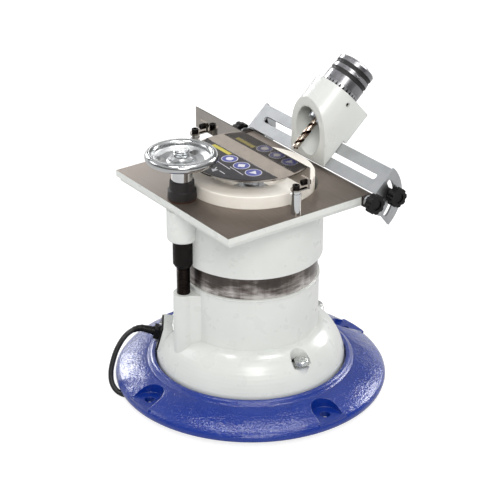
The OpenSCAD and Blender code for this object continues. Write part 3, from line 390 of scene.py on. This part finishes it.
def castingBody():
    # the enamel stops at the shoulder of the turned guide: bare streaked iron, lighter and more blotchy just
    # above the shoulder
    kit = whiteEnamel("castingBody")
    height = measured(kit, upwards, 0.0)
    bare = above(kit, height, shoulderLevel)
    streaks = cloud(kit, 1.0, 4.0, 0.6, stretched(kit, (42, 42, 7)))
    smears = cloud(kit, 1.0, 6.0, 0.65, stretched(kit, (26, 26, 130)))
    # just above the shoulder the blotches count more and the tone is raised, so the iron shows lighter there
    low = spread(kit, height, shoulderLevel, shoulderFadeLevel, 0.42, 0.0)
    tone = plus(kit, times(kit, plus(kit, streaks, smears), 0.5), times(kit, smears, low))
    iron = ramp(kit, tone, [(0.32, "#352f2c"), (0.5, "#4c4541"), (0.6, "#807976"), (0.74, "#c4c0bd")])
    setColour(kit, blendColours(kit, bare, kit["painted"], iron))
    setMetal(kit, times(kit, bare, 0.85))
    setRough(kit, chosen(kit, bare, noiseTo(kit, streaks, 0.42, 0.26), kit["paintedRough"]))
    return kit["material"]


def tableIron():
    # ground top face, brown-grey with the grinder's fine lines and a painted sheen that lightens it towards
    # the left; all else is enamelled
    kit = whiteEnamel("tableIron")
    height = measured(kit, upwards, groundLevel)
    facingUp = above(kit, measured(kit, upwards, 0.9, kit["normal"]), 0.0)
    ground = times(kit, above(kit, height, 0.0), facingUp)
    lines = cloud(kit, 1.0, 3.0, 0.6, stretched(kit, (14, 1700, 14)))
    stains = cloud(kit, 13, 5.0, 0.6)
    iron = ramp(kit, stains, [(0.3, "#61564e"), (0.5, "#70655c"), (0.72, "#82776e")])
    iron = blendColours(kit, spread(kit, lines, 0.35, 0.7, 0.0, 0.22), iron, "#a39a91")
    # painted sheen: the ground face is mixed towards a lighter colour towards the left
    paintedSheen = spread(kit, measured(kit, sideways, 0.0), -0.12, 0.07, 0.5, 0.0)
    iron = blendColours(kit, paintedSheen, iron, "#b3a89e")
    setColour(kit, blendColours(kit, ground, kit["painted"], iron))
    setMetal(kit, times(kit, ground, 0.8))
    setRough(kit, chosen(kit, ground, noiseTo(kit, stains, 0.34, 0.5), kit["paintedRough"]))
    setNormal(kit, relief(kit, lines, 0.00003, 0.6, enamelCoat(kit, 0.0005, 0.00012, 0.00003)))
    return kit["material"]


def metalFinish(name, light, dark, rough, stretch, scratch):
    # worked metal: a cloudy tone, and lines that run where the stretch is least
    kit = startFinish(name, light, rough[0], 1.0)
    lines = cloud(kit, 1.0, 3.0, 0.6, stretched(kit, stretch))
    setColour(kit, blendColours(kit, cloud(kit, 70, 4.0, 0.55), light, dark))
    setRough(kit, noiseTo(kit, lines, *rough))
    setNormal(kit, relief(kit, lines, scratch, 0.7))
    return kit["material"]


def softFinish(name, light, dark, rough, grain, depth, patch, **sockets):
    # rubber, moulded plastic, film and paint: a soft tone change, grain and matching roughness
    kit = startFinish(name, light, rough[0], 0.0, **sockets)
    setColour(kit, blendColours(kit, noiseTo(kit, cloud(kit, patch, 4.0, 0.6), 0.0, 1.0), light, dark))
    setRough(kit, noiseTo(kit, cloud(kit, patch * 1.7, 3.0, 0.5), *rough))
    setNormal(kit, relief(kit, cloud(kit, grain, 3.0, 0.6), depth, 0.8))
    return kit["material"]


def wheelGrit():
    # vitrified abrasive: open grain, a little darker in the pores, warm mottling
    kit = startFinish("wheelGrit", "#fbf6ee", 0.85, 0.0, Specular_IOR_Level=0.25)
    pores = cloud(kit, 1700, 4.0, 0.75)
    mottle = spread(kit, cloud(kit, 26, 5.0, 0.6), 0.35, 0.7, 0.0, 1.0)
    warm = blendColours(kit, mottle, "#fdf9f2", "#f8f1e6")
    setColour(kit, blendColours(kit, spread(kit, pores, 0.5, 0.72, 0.0, 0.22), warm, "#d9d0c2"))
    setRough(kit, noiseTo(kit, pores, 0.78, 0.95))
    setNormal(kit, relief(kit, pores, 0.00012, 0.6))
    return kit["material"]


def sleeveSteel():
    # satin rings with blackened bands between them, by the distance along the drill
    kit = startFinish("sleeveSteel", "#c4c6c8", 0.12, 1.0)
    along = measured(kit, alongDrill, pivotAlong)
    black = 0.0
    for low, high in chuckSleeve["bands"]:
        starts = chuckSleeve["start"] + low * chuckSleeve["length"] - chuckSleeve["bandSpill"]
        ends = chuckSleeve["start"] + high * chuckSleeve["length"] + chuckSleeve["bandSpill"]
        black = plus(kit, black, times(kit, above(kit, along, starts * mm), below(kit, along, ends * mm)))
    lines = cloud(kit, 1.0, 3.0, 0.6, stretched(kit, (25, 25, 2600), (railTilt, 0, 0)))
    steel = blendColours(kit, cloud(kit, 60, 4.0), "#98989b", "#707074")
    setColour(kit, blendColours(kit, black, steel, "#151517"))
    setMetal(kit, spread(kit, black, 0.0, 1.0, 1.0, 0.1))
    setRough(kit, plus(kit, noiseTo(kit, lines, 0.27, 0.31), times(kit, black, 0.3)))
    return kit["material"]


def notchSteel():
    # the indexing ring: satin steel, with black triangles round its notches and their floors black, painted
    # shade for the dark inside the notches
    kit = startFinish("notchSteel", "#c9cbcd", 0.22, 1.0)
    aside, outwards = fromDrillAxis(kit)
    turns = times(kit, maths(kit, "ARCTAN2", outwards, aside), notches["count"] / (2 * math.pi))
    phase = maths(kit, "FRACT", plus(kit, turns, notches["count"] + 0.5))
    fromMiddle = times(kit, maths(kit, "ABSOLUTE", maths(kit, "SUBTRACT", phase, 0.5)), notches["pitch"] * mm)
    up = measured(kit, alongDrill, pivotAlong + notches["foot"] * mm)
    toTip = maths(kit, "SUBTRACT", notches["tall"] * mm, up)
    halfWidth = times(kit, toTip, notches["half"] / notches["tall"])
    # painted shade: the notch floors, and triangles a little wider than the notches, are coloured black
    shadedNotchFloors = below(kit, across(kit, aside, outwards), notches["floor"] * mm)
    paintedNotchShade = maths(kit, "MAXIMUM", below(kit, fromMiddle, halfWidth), shadedNotchFloors)
    black = times(kit, paintedNotchShade, above(kit, up, -notches["rim"] * mm))
    steel = blendColours(kit, cloud(kit, 80, 4.0), "#a6a6a8", "#7e7e82")
    setColour(kit, blendColours(kit, black, steel, "#17171a"))
    setMetal(kit, spread(kit, black, 0.0, 1.0, 1.0, 0.0))
    setRough(kit, plus(kit, noiseTo(kit, cloud(kit, 400, 3.0), 0.27, 0.33), times(kit, black, 0.25)))
    return kit["material"]


def drillBronze():
    # bronze-coloured drill: the flutes darker and browner, the lands bright
    kit = startFinish("drillBronze", "#b98a5a", 0.2, 1.0)
    land = spread(kit, across(kit, *fromDrillAxis(kit)), *flutes, 0.0, 1.0)
    tone = times(kit, plus(kit, land, cloud(kit, 130, 4.0)), 0.6)
    setColour(kit, ramp(kit, tone, [(0.2, "#2a1b14"), (0.5, "#5b463a"), (0.8, "#867060"), (1.0, "#cabfb2")]))
    setRough(kit, noiseTo(kit, cloud(kit, 500, 3.0), 0.12, 0.3))
    setNormal(kit, relief(kit, cloud(kit, 900, 2.0), 0.00004, 0.5))
    return kit["material"]


def inkFinish(name, colour):
    kit = startFinish(name, colour, 0.32, 0.0, Coat_Weight=0.2, Coat_Roughness=0.1)
    specks = spread(kit, cloud(kit, 350, 3.0), 0.35, 0.7, 0.0, 0.12)
    setColour(kit, blendColours(kit, specks, colour, (0.5, 0.5, 0.5, 1)))
    setRough(kit, noiseTo(kit, cloud(kit, 200, 3.0), 0.26, 0.38))
    return kit["material"]


def bootRubber():
    # dusty black rubber, with a brown rim of grease where it stands on the table
    kit = startFinish("bootRubber", "#1e1c1d", 0.55, 0.0, Specular_IOR_Level=0.28)
    dust = noiseTo(kit, cloud(kit, 1.0, 4.0, 0.6, stretched(kit, (150, 150, 22))), 0.0, 1.0)
    grease = spread(kit, measured(kit, upwards, tableTopLevel), 0.0008, 0.0028, 0.85, 0.0)
    rubber = blendColours(kit, dust, "#1e1c1d", "#2b2828")
    setColour(kit, blendColours(kit, grease, rubber, "#3f2415"))
    setRough(kit, maths(kit, "SUBTRACT", spread(kit, dust, 0.0, 1.0, 0.5, 0.68), times(kit, grease, 0.25)))
    setNormal(kit, relief(kit, cloud(kit, 900, 3.0, 0.6), 0.00006, 0.8))
    return kit["material"]


def handwheelChrome():
    # a polished rim and hub, the dished web between them satin
    kit = startFinish("handwheelChrome", "#dfe1e2", 0.1, 1.0)
    away = across(kit, measured(kit, sideways, columnAt[0] * mm), measured(kit, (0, 1, 0), columnAt[1] * mm))
    inRim = spread(kit, away, *webRadii["rim"], 1.0, 0.0)
    web = times(kit, inRim, spread(kit, away, *webRadii["hub"], 0.0, 1.0))
    grain = cloud(kit, 400, 3.0, 0.6)
    setColour(kit, blendColours(kit, cloud(kit, 70, 4.0, 0.55), "#bcbdbe", "#a2a4a5"))
    setRough(kit, plus(kit, noiseTo(kit, grain, 0.1, 0.18), times(kit, web, 0.24)))
    setNormal(kit, relief(kit, cloud(kit, 55, 2.0), 0.0003, 1.0, relief(kit, grain, 0.00002, 0.7)))
    return kit["material"]


whiteMaterial = whiteEnamel("whiteEnamel", 0.0022)["material"]
blueMaterial = blueEnamel()
bodyMaterial = castingBody()
tableMaterial = tableIron()
gritMaterial = wheelGrit()
sleeveMaterial = sleeveSteel()
notchMaterial = notchSteel()
drillMaterial = drillBronze()
wheelChrome = handwheelChrome()
bootMaterial = bootRubber()
# light, dark, roughness from and to, stretch of the lines, their depth
rodMaterial = metalFinish("oiledRod", "#332c29", "#1c1817", (0.3, 0.5), (300, 300, 40), 0.00004)
blackSteelMaterial = metalFinish("blackOxide", "#2b2827", "#1d1b1b", (0.36, 0.55), (60, 60, 900), 0.00002)
steelMaterial = metalFinish("groundSteel", "#c2c4c6", "#9b9da0", (0.2, 0.36), (60, 60, 1800), 0.00002)
zincMaterial = metalFinish("zincSteel", "#d3d5d4", "#b3b6b4", (0.2, 0.34), (500, 500, 500), 0.00003)
turnedChrome = metalFinish("turnedChrome", "#d2d4d5", "#b4b6b8", (0.06, 0.14), (40, 40, 1500), 0.00001)
sheetMaterial = metalFinish("guardSheet", "#a49e98", "#8e8984", (0.06, 0.13), (20, 1400, 1400), 0.000008)
railMaterial = metalFinish("railSheet", "#b9bbbd", "#9d9fa2", (0.3, 0.42), (25, 1100, 1100), 0.00001)
alloyMaterial = metalFinish("castAlloy", "#b4b6b7", "#8f9192", (0.38, 0.55), (500, 500, 500), 0.00006)
copperMaterial = metalFinish("windingCopper", "#b87333", "#7d4a20", (0.28, 0.42), (900, 900, 60), 0.00015)
bronzeMaterial = metalFinish("bearingBronze", "#b58f4e", "#8d6c38", (0.25, 0.4), (700, 700, 700), 0.00002)
# light, dark, roughness from and to, fineness and depth of the grain, fineness of the patches
armMaterial = softFinish("armPaint", "#1b1411", "#2a211d", (0.36, 0.52), 500, 0.00006, 40,
                         Specular_IOR_Level=0.25)
castMaterial = softFinish("roughIron", "#55504c", "#3c3936", (0.55, 0.75), 300, 0.0002, 60)
footMaterial = softFinish("footRubber", "#232122", "#2e2b2b", (0.6, 0.78), 700, 0.00008, 60)
sheathMaterial = softFinish("cordSheath", "#131314", "#1c1c1d", (0.38, 0.5), 900, 0.00004, 120,
                            Specular_IOR_Level=0.4)
plasticMaterial = softFinish("blackMoulding", "#070707", "#0f0e0e", (0.3, 0.42), 1100, 0.00004, 80,
                             Specular_IOR_Level=0.2)
redMaterial = softFinish("redRocker", "#b41d17", "#9a1512", (0.24, 0.36), 900, 0.00003, 80)
labelMaterial = softFinish("labelFilm", "#19171d", "#211e26", (0.36, 0.46), 700, 0.00001, 40,
                           Coat_Weight=0.08, Coat_Roughness=0.2)
inkBlue = inkFinish("inkBlue", "#2b3a9c")
inkWhite = inkFinish("inkWhite", "#e3e3ea")
inkYellow = inkFinish("inkYellow", "#c9bd2a")
print("finishes made")

finishOf = {
    blueMaterial: ["base_ring"],
    bodyMaterial: ["body_casting"],
    whiteMaterial: ["drill_holder"],
    tableMaterial: ["table_casting"],
    castMaterial: ["stator_core", "rotor"],
    gritMaterial: ["grinding_wheel"],
    sleeveMaterial: ["chuck_sleeve"],
    notchMaterial: ["index_ring"],
    drillMaterial: ["drill_bit"],
    armMaterial: ["right_arm", "left_arm"],
    blackSteelMaterial: ["screw_nut", "guard_screws", "arm_screws", "holder_screw", "elevating_screw"],
    steelMaterial: ["lower_bearing", "upper_bearing", "spindle", "clamp_washer", "spindle_nut", "chuck_core",
                    "jaw_1", "jaw_2", "jaw_3", "chuck_cap", "wheel_flange", "cable_plate_screws"],
    zincMaterial: ["foot_screws", "body_bolts", "bolt_washers", "bottom_cover"],
    wheelChrome: ["handwheel"],
    turnedChrome: ["handwheel_shaft", "guard_posts"],
    sheetMaterial: ["guard", "guard_clips"],
    railMaterial: ["tilt_rail"],
    alloyMaterial: ["lower_bearing_plate", "upper_bearing_plate", "run_capacitor"],
    bootMaterial: ["rubber_boot"],
    footMaterial: ["rubber_feet"],
    sheathMaterial: ["power_cord", "cord_coil"],
    plasticMaterial: ["cable_plate", "cable_gland", "switch_box", "cooling_fan", "power_plug",
                      "right_pivot_knob", "right_lock_knob", "left_pivot_knob", "left_lock_knob",
                      "holder_clamp_knob"],
    redMaterial: ["switch_rocker"],
    copperMaterial: ["stator_windings"],
    bronzeMaterial: ["thrust_washer"],
    labelMaterial: ["guard_label"],
}

for material, names in finishOf.items():
    for name in names:
        mesh = nodes[name].data
        if not len(mesh.materials):
            mesh.materials.append(material)
        for i in range(len(mesh.materials)):
            mesh.materials[i] = material
print("finishes on", sum(len(n) for n in finishOf.values()), "nodes of", len(nodes))

# millimetres and degrees
lead = {
    "diameter": 6.5,
    "gland": {"radius": 110.0, "azimuth": 235.0, "height": 64.0, "tilt": 15.0, "reach": 10.5},
    "route": [(-78, -111, 70), (-82, -122, 67), (-83, -132, 60), (-82, -142, 49), (-79, -150, 37),
              (-75, -156, 25), (-69, -159, 14), (-61, -158, 6.5), (-52, -154, 3.5), (-42, -147, 3.3),
              (-33, -137, 3.3), (-26, -124, 3.3), (-22, -108, 3.3), (-22, -90, 3.3), (-23, -70, 3.3),
              (-24, -50, 3.3), (-24, -30, 3.3), (-24, -10, 3.3), (-25, 10, 3.3), (-28, 30, 3.3),
              (-34, 50, 3.3), (-43, 70, 3.3), (-55, 88, 3.3), (-70, 104, 3.3), (-87, 118.5, 3.3),
              (-103, 130.6, 3.3), (-119, 142.6, 3.3)],
    "coil": {"at": (-178.0, 130.0), "azimuth": 53.0, "radius": 45.5, "pitch": 7.1, "turns": 6, "tail": 32.0,
             "pointsPerTurn": 64, "climb": 0.5},
    "relief": {"length": 24.0, "start": 5.4, "end": 3.75, "ribs": 5, "ribDepth": 0.28, "plainFrom": 0.9,
               "bulge": 0.8, "rows": 90, "sides": 28},
    "tie": {"inner": 23.9, "outer": 45.8, "bottom": 0.05, "top": 14.0, "corner": 3.2, "half": 3.0,
            "thick": (0.6, 0.5), "sides": 64},
    "smoothing": 12,
    "spacing": 2.2,
    "sides": 20,
}


def glandExit(gland):
    az, up, reach = math.radians(gland["azimuth"]), math.radians(gland["tilt"]), gland["reach"]
    direction = np.array([math.cos(up) * math.cos(az), math.cos(up) * math.sin(az), math.sin(up)])
    out = gland["radius"] + reach * math.cos(up)
    place = np.array([out * math.cos(az), out * math.sin(az), gland["height"] + reach * math.sin(up)])
    return place, direction


def coilPoints(coil, diameter):
    # turns that wind inwards on the floor and outwards again on top, with a straight end at each side
    turns, pitch = coil["turns"], coil["pitch"]
    u = np.linspace(0, turns, turns * coil["pointsPerTurn"] + 1)
    angle = np.radians(coil["azimuth"] + 360 * u)
    radius = coil["radius"] - pitch * np.minimum(u, turns - u)
    s = np.clip((u - turns / 2) / coil["climb"] + 0.5, 0, 1)
    z = diameter / 2 + pitch * (3 * s ** 2 - 2 * s ** 3)
    x0, y0 = coil["at"]
    points = np.stack([x0 + radius * np.cos(angle), y0 + radius * np.sin(angle), z], axis=1)
    az = math.radians(coil["azimuth"])
    ahead = np.array([-math.sin(az), math.cos(az), 0])
    start = points[0] - ahead * diameter
    return start - ahead * 2 * diameter, start, np.vstack([points, points[-1] + ahead * coil["tail"]])


def makeReliefSleeve(taper, line, at):
    # the ribbed sleeve that keeps the lead from kinking at the gland
    t = np.linspace(0, 1, taper["rows"])
    where = t * taper["length"] * mm
    centre = np.stack([np.interp(where, at, line[:, k]) for k in range(3)], axis=1)
    ribs = taper["ribDepth"] * (np.sin(t * taper["ribs"] * 2 * np.pi) > 0) * (t < taper["plainFrom"])
    radii = (taper["start"] + (taper["end"] - taper["start"]) * t ** taper["bulge"] - ribs) * mm
    points, faces = sweptTube(centre, radii, taper["sides"])
    outward(pieceFrom("lead_relief_sleeve", points, faces, plasticMaterial, "base"))


def makeTie(tie, coil):
    # a thin strap round all the coil's turns, on the side away from the plug
    angle = np.linspace(0, 2 * np.pi, tie["sides"], endpoint=False)
    outer, inner = [], []
    ways = (np.cos(angle), np.sin(angle))
    for low, high, way, thick in zip(("inner", "bottom"), ("outer", "top"), ways, tie["thick"]):
        middle, reach = (tie[low] + tie[high]) / 2, (tie[high] - tie[low]) / 2 - tie["corner"]
        outer.append(middle + np.sign(way) * reach + tie["corner"] * way)
        inner.append(outer[-1] - thick * way)
    az = math.radians(coil["azimuth"] + 180)
    away, along = np.array([math.cos(az), math.sin(az), 0]), np.array([-math.sin(az), math.cos(az), 0])

    def strapRing(ring, side):
        r, z = ring
        middle = [*coil["at"], 0] + side * tie["half"] * along
        return middle + r[:, None] * away + z[:, None] * np.array(upwards)

    rings = [strapRing(outer, -1), strapRing(outer, 1), strapRing(inner, 1), strapRing(inner, -1)]
    points = np.concatenate([*rings, rings[0]]) * mm
    strap = pieceFrom("coil_tie", points, gridFaces(5, tie["sides"]), footMaterial, "base")
    outward(strap)
    return strap


def makeLead(settings):
    diameter = settings["diameter"]
    exitPoint, exitDirection = glandExit(settings["gland"])
    leadIn, start, coil = coilPoints(settings["coil"], diameter)
    corners = [exitPoint, exitPoint + exitDirection * diameter, *settings["route"], leadIn, start]
    free = smoothLine(np.array(corners, float), settings["smoothing"])
    line, at = evenly(np.vstack([free, coil]) * mm, settings["spacing"] * mm)
    points, faces = sweptTube(line, np.full(len(line), diameter / 2 * mm), settings["sides"])
    cord = pieceFrom("mains_lead", points, faces, sheathMaterial, "base")
    outward(cord)
    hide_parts("power_cord", "cord_coil")
    makeReliefSleeve(settings["relief"], line, at)
    tie = makeTie(settings["tie"], settings["coil"])
    print("lead", round(float(at[-1]), 3), "m")


makeLead(lead)

# millimetres; the groove's depth is flat less flank times the distance from its middle, in turns, from 0 to 1
rod = {
    "at": columnAt, "bottom": 109.0, "top": 240.5, "radius": 8.0, "tip": 1.4, "foot": 1.0,
    "pitch": 2.0, "depth": 1.0, "flat": 1.35, "flank": 3.6, "threadFrom": 144.5, "runIn": 0.6, "runOut": 0.8,
    "slices": 12, "sides": 56,
}


def makeRod(s):
    # radius = crest less depth where the turn's phase, height over pitch less angle, lies in the groove
    z = np.arange(s["bottom"], s["top"], s["pitch"] / s["slices"])
    angle = np.linspace(0, 2 * np.pi, s["sides"], endpoint=False)
    zz, aa = np.meshgrid(z, angle, indexing="ij")
    phase = (zz / s["pitch"] - aa / (2 * np.pi)) % 1.0
    groove = np.clip(s["flat"] - np.abs(phase - 0.5) * s["flank"], 0, 1)
    begun = np.clip((zz - s["threadFrom"]) / s["runIn"], 0, 1)
    left = np.clip((s["top"] - s["runOut"] - zz) / s["runOut"], 0, 1)
    radius = s["radius"] - s["depth"] * groove * begun * left
    # both ends chamfered
    radius = np.minimum(radius, s["radius"] - np.clip(zz - s["top"] + s["tip"], 0, None))
    radius = np.minimum(radius, s["radius"] - np.clip(s["bottom"] + s["foot"] - zz, 0, None))
    grid = np.stack([s["at"][0] + radius * np.cos(aa), s["at"][1] + radius * np.sin(aa), zz], axis=-1) * mm
    faces = closedFaces(len(z), s["sides"])
    piece = pieceFrom("threaded_rod", grid.reshape(-1, 3), faces, rodMaterial, "base")
    outward(piece)
    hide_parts("elevating_screw")


makeRod(rod)
print("rod made")

# millimetres; every print lies at the height given, one layer higher where it lies on another
labelPrint = {
    "height": 297.74,
    "layer": 0.04,
    "thickness": 0.03,
    "discs": [(-10.5, -23.4), (13.5, -23.8), (37.5, -24.2)],
    "discRadius": 10.0,
    "discRim": 0.9,
    "figures": [(4.6, 40), (5.6, 4), (5.6, 3)],
    "bar": (-55.5, -20.5, -18.2, -12.6),
    "lines": [(-12.3, -39.2, 14.2, -40.6, 0.5), (8.0, -36.4, 35.8, -37.8, 0.5),
              (10.2, -52.6, 21.1, -53.1, 0.6)],
    "arrow": {"tip": (8.0, -60.9), "turn": -55.0, "length": 14.0, "head": (0.55, 0.3), "shaft": (0.5, 0.7)},
    "teeth": {"count": 96, "from": -66.0, "to": 57.0, "top": -10.05, "point": -11.2, "width": 0.45,
              "lean": 0.22},
}


def flatPiece(name, shapes, material):
    # closed outlines in millimetres, each a thin plate at its own height
    points, faces, n = [], [], 0
    for outline, z in shapes:
        outline = np.asarray(outline, float)
        k = len(outline)
        for level in (z, z + labelPrint["thickness"]):
            points.append(np.column_stack([outline, np.full(k, level)]))
        faces.append([n + i for i in range(k)][::-1])
        faces.append([n + k + i for i in range(k)])
        faces += [[n + i, n + (i + 1) % k, n + k + (i + 1) % k, n + k + i] for i in range(k)]
        n += 2 * k
    return pieceFrom(name, np.vstack(points) * mm, faces, material, "table", smooth=False)


def circleOutline(x, y, r, count=48):
    a = np.linspace(0, 2 * np.pi, count, endpoint=False)
    return np.column_stack([x + r * np.cos(a), y + r * np.sin(a)])


def strokeOutline(x0, y0, x1, y1, half):
    d = unit([x1 - x0, y1 - y0])
    side = np.array([-d[1], d[0]]) * half
    a, b = np.array([x0, y0]), np.array([x1, y1])
    return np.array([a - side, b - side, b + side, a + side])


def arrowOutlines(arrow):
    a, size, tip = math.radians(arrow["turn"]), arrow["length"], np.array(arrow["tip"])
    ahead, side = np.array([math.cos(a), math.sin(a)]), np.array([-math.sin(a), math.cos(a)])
    (long, wide), (start, half) = arrow["head"], arrow["shaft"]
    neck = tip - ahead * size * long
    head = np.array([tip, neck + side * size * wide, neck - side * size * wide])
    return [head, strokeOutline(*(tip - ahead * size * start), *(tip - ahead * size), half)]


def toothOutlines(teeth):
    # the film's cut edge, a row of small triangles
    places = np.linspace(teeth["from"], teeth["to"], teeth["count"])
    step = places[1] - places[0]
    point, top = teeth["point"], teeth["top"]
    tooth = np.array([[step * teeth["lean"], point], [step * teeth["width"], top], [0, top]])
    return [tooth + [x, 0] for x in places]


def makePrint(s):
    z, layer = s["height"], s["layer"]
    white, blue = [], []
    for (x, y), (size, corners) in zip(s["discs"], s["figures"]):
        white.append((circleOutline(x, y, s["discRadius"]), z))
        blue.append((circleOutline(x, y, s["discRadius"] - s["discRim"]), z + layer))
        white.append((circleOutline(x, y, size, corners), z + 2 * layer))
    strokes = [strokeOutline(*line) for line in s["lines"]]
    white += [(outline, z) for outline in strokes + arrowOutlines(s["arrow"]) + toothOutlines(s["teeth"])]
    flatPiece("print_white", white, inkWhite)
    flatPiece("print_blue", blue, inkBlue)
    x0, x1, y0, y1 = s["bar"]
    flatPiece("print_yellow", [(np.array([[x0, y0], [x1, y0], [x1, y1], [x0, y1]]), z)], inkYellow)


makePrint(labelPrint)
print("label printed")

studio = {
    "floorSize": 16.0,
    "paper": 0.8,
    "seenPaper": 0.4,
    "seenGlow": 0.8,
    "world": 0.7,
    # the mirrored room's brightness by the height of the way to it, 0 at the horizon
    "room": [(0.0, 0.2), (0.2, 0.26), (0.36, 0.24), (0.5, 0.4), (0.66, 0.95), (0.8, 0.8), (0.92, 0.26),
             (1.0, 0.18)],
    # the bright sheet behind the machine, its cosines as for the windows, and the height where it fades
    "backdrop": {"way": (-0.806, 0.592, 0.0), "cosines": (0.1, 0.55), "fades": (0.12, 0.34), "glow": 1.1},
    "windows": [
        # way to it in the mirrored room, the cosines where it begins and is full, brightness
        ((-0.87, 0.05, 0.34), (0.986, 0.989), 17.0),
        ((0.0, 0.85, 0.42), (0.985, 0.988), 20.0),
        ((-0.05, -0.22, 0.97), (0.99, 0.993), 18.0),
        ((0.22, 0.15, 0.97), (0.99, 0.993), 18.0),
    ],
    "lampsLookAt": (0.0, 0.0, 0.17),
    "lamps": [
        # name, place, size, power, colour
        ("keyLamp", (2.2, -1.2, 2.4), (1.3, 1.3), 46.0, (1.0, 0.985, 0.96)),
        ("fillLamp", (-2.4, -2.2, 1.9), (1.6, 1.2), 20.0, (0.97, 0.985, 1.0)),
        ("topLamp", (0.3, 0.5, 3.0), (2.0, 1.6), 13.0, (1.0, 1.0, 1.0)),
        ("backLamp", (-2.2, 1.2, 1.35), (0.35, 0.3), 1.1, (1.0, 1.0, 1.0)),
    ],
}


def shaderNode(kit, kind, *values):
    # the node's sockets in their order
    node = kit["tree"].nodes.new(kind)
    for socket, value in zip(node.inputs, values):
        put(kit, socket, value)
    return node.outputs[0]


def grey(level):
    return (level, level, level, 1.0)


directRays = ("Is Camera Ray", "Is Transmission Ray")


def seenBy(kit, kind, *more):
    # 1 for the kinds of rays named
    path = kit["tree"].nodes.new("ShaderNodeLightPath")
    total = path.outputs[kind]
    for other in more:
        total = maths(kit, "MAXIMUM", total, path.outputs[other])
    return total


def makeWorld(s):
    # even soft light, the mirrored room for glossy rays and plain white for the camera
    world = bpy.data.worlds.new("studioWorld")
    bpy.context.scene.world = world
    tree = emptyTree(world)
    output = tree.nodes.new("ShaderNodeOutputWorld")
    kit = {"tree": tree, "place": tree.nodes.new("ShaderNodeTexCoord").outputs["Generated"]}
    height = measured(kit, upwards, 0.0)
    wall = s["backdrop"]
    facing = spread(kit, measured(kit, wall["way"], 0.0), *wall["cosines"], 0.0, 1.0)
    glow = spread(kit, height, *wall["fades"], wall["glow"], 0.0)
    lit = plus(kit, ramp(kit, height, s["room"]), times(kit, facing, glow))
    for where, cosines, power in s["windows"]:
        lit = plus(kit, lit, spread(kit, measured(kit, tuple(unit(where)), 0.0), *cosines, 0.0, power))
    room = shaderNode(kit, "ShaderNodeBackground", lit)
    soft = shaderNode(kit, "ShaderNodeBackground", grey(1.0), s["world"])
    seen = shaderNode(kit, "ShaderNodeBackground", grey(1.0))
    lights = shaderNode(kit, "ShaderNodeMixShader", seenBy(kit, "Is Glossy Ray"), soft, room)
    shown = shaderNode(kit, "ShaderNodeMixShader", seenBy(kit, *directRays), lights, seen)
    tree.links.new(shown, output.inputs["Surface"])


def makeFloor(s):
    half = s["floorSize"] / 2
    mesh = bpy.data.meshes.new("floor")
    corners = [(-half, -half, 0), (half, -half, 0), (half, half, 0), (-half, half, 0)]
    mesh.from_pydata(corners, [], [(0, 1, 2, 3)])
    floor = bpy.data.objects.new("floor", mesh)
    bpy.context.scene.collection.objects.link(floor)
    material = bpy.data.materials.new("floorSheet")
    kit = {"tree": emptyTree(material)}
    output = kit["tree"].nodes.new("ShaderNodeOutputMaterial")
    paper = shaderNode(kit, "ShaderNodeBsdfDiffuse", grey(s["paper"]))
    glow = shaderNode(kit, "ShaderNodeEmission", grey(1.0), s["seenGlow"])
    dimmer = shaderNode(kit, "ShaderNodeBsdfDiffuse", grey(s["seenPaper"]))
    seen = shaderNode(kit, "ShaderNodeAddShader", glow, dimmer)
    shown = shaderNode(kit, "ShaderNodeMixShader", seenBy(kit, *directRays), paper, seen)
    kit["tree"].links.new(shown, output.inputs["Surface"])
    mesh.materials.append(material)


def makeLamps(s):
    target = np.array(s["lampsLookAt"])
    for name, place, size, power, colour in s["lamps"]:
        data = bpy.data.lights.new(name, "AREA")
        data.shape = "RECTANGLE"
        data.size, data.size_y = size
        data.energy = power
        data.color = colour
        back = unit(np.array(place) - target)
        right = unit(np.cross([0, 0, 1], back))
        standIn(bpy.data.objects.new(name, data), place, right, np.cross(back, right), back)


makeWorld(studio)
makeFloor(studio)
makeLamps(studio)
bpy.context.scene.view_settings.view_transform = "Standard"
print("studio set")
